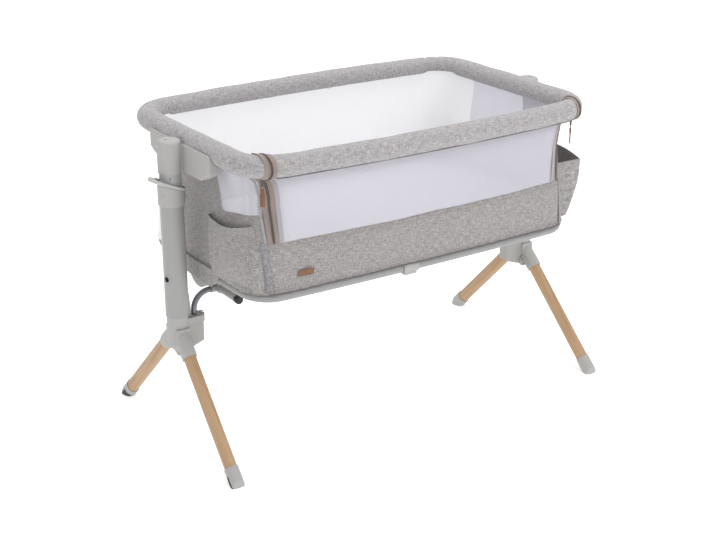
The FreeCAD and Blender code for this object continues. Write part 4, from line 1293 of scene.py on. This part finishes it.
# ---------------------------------------------------------------- seams
@dataclass
class Seams:
    """Stitched hems and seams on the panels and pockets."""

    workshop: Workshop
    wall: Wall
    stitches: LineOfPieces
    stitch: tuple[float, float, float] = (4.6 * MM, 3.0 * MM, 0.7 * MM)
    lift: float = 2.9 * MM
    front_half: float = 0.372
    front_points: int = 260
    front_lines: tuple[float, float] = (HINGE_Z - 9 * MM, HEM_Z + 8 * MM)
    end_points: int = 90
    # Start and end (y, z) of each line on an end wall.
    end_lines: tuple[tuple[float, ...], ...] = ((-0.246, 0.401, 0.105, 0.401), (-0.088, 0.524, -0.222, 0.552),
                                                (-0.052, 0.642, -0.078, 0.540))

    def along_end(self, side: int, start: Sequence[float], end: Sequence[float]) -> list[Vector]:
        """A line on an end wall's rippled cloth.

        Args:
            side: -1 for the left end.
            start, end: its ends (y, z).
        """
        return [self.wall.rippled(self.wall.end_at(side, start[0] + (end[0] - start[0]) * share,
                                                   start[1] + (end[1] - start[1]) * share, self.lift))
                for share in np.linspace(0, 1, self.end_points)]

    def build(self) -> list[bpy.types.Object]:
        """Lays the stitches."""
        along = np.linspace(-self.front_half, self.front_half, self.front_points)
        lines = [self.wall.front_line(along, z, self.lift) for z in self.front_lines]
        lines += [self.along_end(side, line[:2], line[2:]) for side, _ in SIDES for line in self.end_lines]
        row = self.stitches.lay("panel_stitches", lines, *self.stitch, self.workshop.get("thread"))
        return [hand_over(row, "basket")]


@dataclass
class PipingWithShade:
    """Thin dark piping under the gate's rail and along the basket's hem; its dark colour is partly painted shade,
    for the shaded creases under the rail and under the hem.
    """

    workshop: Workshop
    wall: Wall
    radius: float = 1.3 * MM
    sides: int = 10
    rail_turn: float = math.radians(-58.0)
    rail_half: float = 0.372
    hem_half: float = 0.383

    def round_piping(self, name: str, path: Sequence[Vector]) -> bpy.types.Object:
        """A round sewn-in piping along a path, its dark colour partly painted shade."""
        rings, uv, run = [], [], 0.0
        for index, point in enumerate(path):
            ahead = (path[min(index + 1, len(path) - 1)] - path[max(index - 1, 0)]).normalized()
            side = ahead.cross(Vector((0, 0, 1))).normalized()
            up = side.cross(ahead)
            run += (point - path[index - 1]).length if index else 0.0
            rings.append([point + side * math.cos(t) * self.radius + up * math.sin(t) * self.radius
                          for t in np.linspace(0, 2 * math.pi, self.sides, endpoint=False)])
            uv.append([(run, j * 0.8 * MM) for j in range(self.sides + 1)])
        bm = bmesh.new()
        tube_grid(bm, rings, uv, True)
        return mesh_from(closed_up(bm), name, [self.workshop.get("piping")])

    def under_rail(self) -> list[Vector]:
        """The line low on the outside of the gate's rail."""
        rail = rail_run()
        front = rail.points[rail.points[:, 1] < -0.2]
        front = front[np.argsort(front[:, 0])]
        away, z = RAIL_RADIUS * math.cos(self.rail_turn), RAIL_Z + RAIL_RADIUS * math.sin(self.rail_turn)
        path = []
        for x in np.linspace(-self.rail_half, self.rail_half, 200):
            y = float(np.interp(x, front[:, 0], front[:, 1]))
            out = rail.near(x, y)[1]
            path.append(Vector((x + out[0] * away, y + out[1] * away, z)))
        return path

    def build(self) -> list[bpy.types.Object]:
        """Lays the piping, partly painted shade, on both bodies."""
        hem = self.wall.front_line(np.linspace(-self.hem_half, self.hem_half, 200), HEM_Z + 1 * MM, 0.6 * MM)
        return [hand_over(self.round_piping("gate_rail_piping", self.under_rail()), "gate"),
                hand_over(self.round_piping("front_hem_piping", hem), "basket")]


@dataclass
class LabelPatch:
    """Bare leather patch sewn on the front panel."""

    workshop: Workshop
    wall: Wall
    ends: tuple[float, float] = (-0.319, -0.284)
    foot: float = 0.421
    top: float = 0.434
    thick: float = 1.3 * MM
    clear: float = 2.4 * MM

    def build(self) -> list[bpy.types.Object]:
        """Makes the patch on the rippled cloth."""
        path = self.wall.front_line(np.linspace(*self.ends, 14), (self.foot + self.top) / 2,
                                    self.clear + self.thick * 0.55)
        piece = ribbon("label_patch", path, self.wall.outward(path), self.top - self.foot, self.thick,
                       self.workshop.get("leather"))
        return [hand_over(piece, "basket")]


# ---------------------------------------------------------------- mattress
@dataclass
class MattressPad:
    """Foam mattress in a white cover, swelled by a cloth simulation."""

    workshop: Workshop
    frame: dict
    voxel: float = 9 * MM
    pressure: float = 3.0
    frames: int = 18
    quality: int = 5
    cap: float = 5 * MM
    shrink: float = 0.993
    board_clearance: float = 0.2 * MM

    def build(self) -> list[bpy.types.Object]:
        """Makes the pad, lets it swell and keeps it off the floor board."""
        pad = new_object("mattress_pad", self.frame["nodes"]["mattress"].data.copy())
        low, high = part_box("mattress")
        middle = (low + high) / 2
        bm = bmesh.new()
        bm.from_mesh(pad.data)
        for vert in bm.verts:
            vert.co = middle + (vert.co - middle) * self.shrink
        bmesh.ops.remove_doubles(bm, verts=bm.verts, dist=MERGE)
        bm.to_mesh(pad.data)
        bm.free()
        remesh = pad.modifiers.new("remesh", "REMESH")
        remesh.mode = "VOXEL"
        remesh.voxel_size = self.voxel
        pad.data = baked(pad)
        self.swell(pad)
        for vert in pad.data.vertices:
            vert.co.z = max(vert.co.z, low.z + self.board_clearance)
        smooth = pad.modifiers.new("soften", "SUBSURF")
        smooth.levels = smooth.render_levels = 1
        pad.data = baked(pad)
        pad.data.materials.clear()
        pad.data.materials.append(self.workshop.get("mattress"))
        pad.data.shade_smooth()
        hand_over(pad, "basket", "mattress")
        return [pad]

    def swell(self, pad: bpy.types.Object) -> None:
        """Inflates the cover a little, each point by no more than the cap."""
        rest = np.array([vert.co for vert in pad.data.vertices], float)
        cloth = pad.modifiers.new("cloth", "CLOTH")
        cloth.settings.use_pressure = True
        cloth.settings.uniform_pressure_force = self.pressure
        cloth.settings.effector_weights.gravity = 0.0
        cloth.settings.quality = self.quality
        cloth.point_cache.frame_start = 1
        cloth.point_cache.frame_end = self.frames
        scene = bpy.context.scene
        for number in range(1, self.frames + 1):
            scene.frame_set(number)
        pad.data = baked(pad)
        moved = np.array([vert.co for vert in pad.data.vertices], float) - rest
        size = np.linalg.norm(moved, axis=1, keepdims=True)
        moved *= np.minimum(1.0, self.cap / np.maximum(size, 1e-9))
        pad.data.vertices.foreach_set("co", (rest + moved).astype(np.float32).ravel())
        pad.data.update()
        scene.frame_set(1)


# ---------------------------------------------------------------- rigid pieces
@dataclass
class RigidPieces:
    """The CAD nodes that stay, each in its own finish."""

    workshop: Workshop
    frame: dict
    shared: tuple[tuple[str, str], ...] = (
        ("upper_rail_tube", "steel_tube"), ("gate_rail_tube", "steel_tube"), ("floor_frame_left", "steel_tube"),
        ("floor_frame_right", "steel_tube"), ("floor_cross_tubes", "steel_tube"),
        ("frame_couplings", "grey_plastic"), ("floor_board", "board"),
    )
    ended: tuple[tuple[str, str], ...] = (
        ("frame_bracket", "grey_plastic"), ("head_bracket", "grey_plastic"), ("head_cap", "grey_plastic"),
        ("inner_tube", "light_tube"), ("column", "grey_tube"), ("collar", "grey_plastic"),
        ("release_lever", "lever_plastic"), ("lock_pin", "bright_steel"), ("leg_hub", "grey_plastic"),
        ("rest_arm", "dark_tube"), ("rest_bar", "grey_tube"), ("rest_bar_caps", "black_plastic"),
        ("stand_screws", "bright_steel"), ("front_leg", "beech_front"), ("back_leg", "beech_back"),
        ("foot_caps", "grey_plastic"), ("foot_pads", "rubber"), ("zip_slider", "zip_metal"),
        ("zip_pull", "leather"),
    )

    def build(self) -> list[bpy.types.Object]:
        """Dresses every node that shows and returns them."""
        names = [*self.shared, *((end + "_" + node, finish) for _, end in SIDES for node, finish in self.ended)]
        nodes = [self.frame["nodes"][name] for name, _ in names]
        for node, (_, finish) in zip(nodes, names):
            self.workshop.dress(node, finish)
        return nodes


@dataclass
class LevelMarks:
    """Two small printed strokes on each inner tube, just above the collar."""

    workshop: Workshop
    tube_x: float = 0.472
    radius: float = 22.95 * MM
    turn: float = math.radians(28)
    heights: tuple[float, ...] = (0.579, 0.595)
    size: tuple[float, float] = (2.0 * MM, 4.2 * MM)

    def build(self) -> list[bpy.types.Object]:
        """Makes the marks as thin curved patches, both ends."""
        pieces = []
        for side, end in SIDES:
            bm = bmesh.new()
            for z in self.heights:
                self.mark(bm, side, z)
            piece = mesh_from(bm, end + "_level_marks", [self.workshop.get("dark_mark")])
            pieces.append(hand_over(piece, "basket"))
        return pieces

    def mark(self, bm: bmesh.types.BMesh, side: int, z: float) -> None:
        """Adds one upright stroke at height z."""
        half = self.size[0] / 2 / self.radius
        middle = -math.pi / 2 + side * self.turn
        columns = []
        for turn in np.linspace(middle - half, middle + half, 4):
            x = side * self.tube_x + self.radius * math.cos(turn)
            y = self.radius * math.sin(turn)
            columns.append([bm.verts.new((x, y, z + end * self.size[1] / 2)) for end in (-1, 1)])
        for left, right in zip(columns, columns[1:]):
            bm.faces.new((left[0], right[0], right[1], left[1]))


@dataclass
class SightHoles:
    """Painted shade: a near-black disc standing for the shaded inside of the sight hole at the foot of each
    column's tube.
    """

    workshop: Workshop
    tube_x: float = 0.472
    radius: float = 23.4 * MM
    height: float = 0.375
    hole: float = 6.1 * MM
    turn: float = math.radians(17.0)

    def build(self) -> list[bpy.types.Object]:
        """Makes a thin curved disc of painted shade behind each hole."""
        pieces = []
        for side, end in SIDES:
            bm = bmesh.new()
            middle = bm.verts.new(self.point(side, 0.0, 0.0))
            rim = [bm.verts.new(self.point(side, math.cos(t) * self.hole, math.sin(t) * self.hole))
                   for t in np.linspace(0, 2 * math.pi, 24, endpoint=False)]
            for first, second in zip(rim, rim[1:] + rim[:1]):
                bm.faces.new((middle, first, second))
            if side > 0:
                bmesh.ops.reverse_faces(bm, faces=bm.faces)
            bm.normal_update()
            piece = mesh_from(bm, end + "_sight_hole_shadow", [self.workshop.get("dark_hole")])
            pieces.append(hand_over(piece, end + "_stand"))
        return pieces

    def point(self, side: int, across: float, up: float) -> tuple[float, float, float]:
        """A point on the round of the tube, beside the hole's axis."""
        turn = self.turn + across / self.radius
        return (side * (self.tube_x + self.radius * math.cos(turn)), -self.radius * math.sin(turn),
                self.height + up)


# ---------------------------------------------------------------- studio
@dataclass
class Studio:
    """Pale floor, soft light and the camera."""

    position: tuple[float, float, float] = (-1.6810, -2.4987, 1.4656)
    forward: tuple[float, float, float] = (0.5172, 0.7742, -0.3648)
    roll: float = math.radians(0.1)
    lens: float = 70.92
    sensor: float = 36.0
    far: float = 60.0
    floor_size: float = 60.0
    floor_glow: float = 0.42
    sky: float = 0.66

    def floor(self) -> None:
        """A pale plane under the crib."""
        bm = bmesh.new()
        bmesh.ops.create_grid(bm, x_segments=8, y_segments=8, size=self.floor_size / 2)
        shade = ShaderTree("studio_floor")
        grain = shade.noise(shade.place(), 40, 2, 0.5)
        colour = shade.mix(shade.math("MULTIPLY", grain, 0.05), (0.92, 0.92, 0.92), (0.88, 0.88, 0.88))
        material = shade.finish(Base_Color=colour, Roughness=0.9, Specular_IOR_Level=0.1,
                                Emission_Color=(1, 1, 1, 1), Emission_Strength=self.floor_glow)
        mesh_from(bm, "studio_floor", [material])

    @staticmethod
    def lamp(name: str, place: Sequence[float], target: Sequence[float], size: float, power: float) -> None:
        """A square area light.

        Args:
            name: the light's name.
            place, target: where it hangs and what it points at.
            size: its edge.
            power: watts.
        """
        data = bpy.data.lights.new(name, "AREA")
        data.shape = "SQUARE"
        data.size = size
        data.energy = power
        lamp = new_object(name, data)
        lamp.location = place
        lamp.rotation_euler = (Vector(target) - Vector(place)).to_track_quat("-Z", "Y").to_euler()

    def lights(self) -> None:
        """Soft light from above and both sides, and a pale sky."""
        self.lamp("key_light", (0.9, -3.0, 3.0), (0, 0, 0.4), 2.4, 52)
        self.lamp("fill_light", (-2.6, -1.4, 2.4), (0, 0, 0.45), 2.4, 7)
        self.lamp("top_light", (0.3, 0.6, 3.4), (0, 0, 0.4), 2.6, 52)
        world = bpy.data.worlds.new("studio_sky")
        world.use_nodes = True
        back = world.node_tree.nodes["Background"]
        back.inputs["Color"].default_value = (1, 1, 1, 1)
        back.inputs["Strength"].default_value = self.sky
        bpy.context.scene.world = world

    def camera(self) -> None:
        """The camera at the photograph's viewing angle."""
        data = bpy.data.cameras.new("camera")
        data.sensor_fit = "HORIZONTAL"
        data.sensor_width = self.sensor
        data.lens = self.lens
        data.clip_end = self.far
        camera = new_object("camera", data)
        forward = Vector(self.forward).normalized()
        right = forward.cross(Vector((0, 0, 1))).normalized()
        up = right.cross(forward)
        turn = Matrix.Rotation(self.roll, 3, forward)
        right, up = turn @ right, turn @ up
        matrix = Matrix((right, up, -forward)).transposed().to_4x4()
        matrix.translation = Vector(self.position)
        camera.matrix_world = matrix
        bpy.context.scene.camera = camera

    def build(self) -> None:
        """Sets the whole studio."""
        self.floor()
        self.lights()
        self.camera()
        bpy.context.scene.view_settings.view_transform = "Standard"


def main() -> None:
    """Builds the crib's looks in order."""
    logging.basicConfig(level=logging.INFO, format="%(name)s: %(message)s")
    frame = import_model()
    workshop = Workshop(Finishes())
    wall = Wall()
    teeth, stitches = LineOfPieces(Repeat.TOOTH), LineOfPieces(Repeat.STITCH)
    for maker in (RigidPieces(workshop, frame), PaddedRail(workshop), ClothWalls(workshop, wall, frame),
                  Pockets(workshop, wall, frame), ZipClosure(workshop, wall, frame, teeth),
                  Seams(workshop, wall, stitches), PipingWithShade(workshop, wall), LabelPatch(workshop, wall),
                  MattressPad(workshop, frame), LevelMarks(workshop), SightHoles(workshop)):
        for piece in maker.build():
            LOG.info("built %s", piece.name)
    Studio().build()


if __name__ == "__main__":
    main()
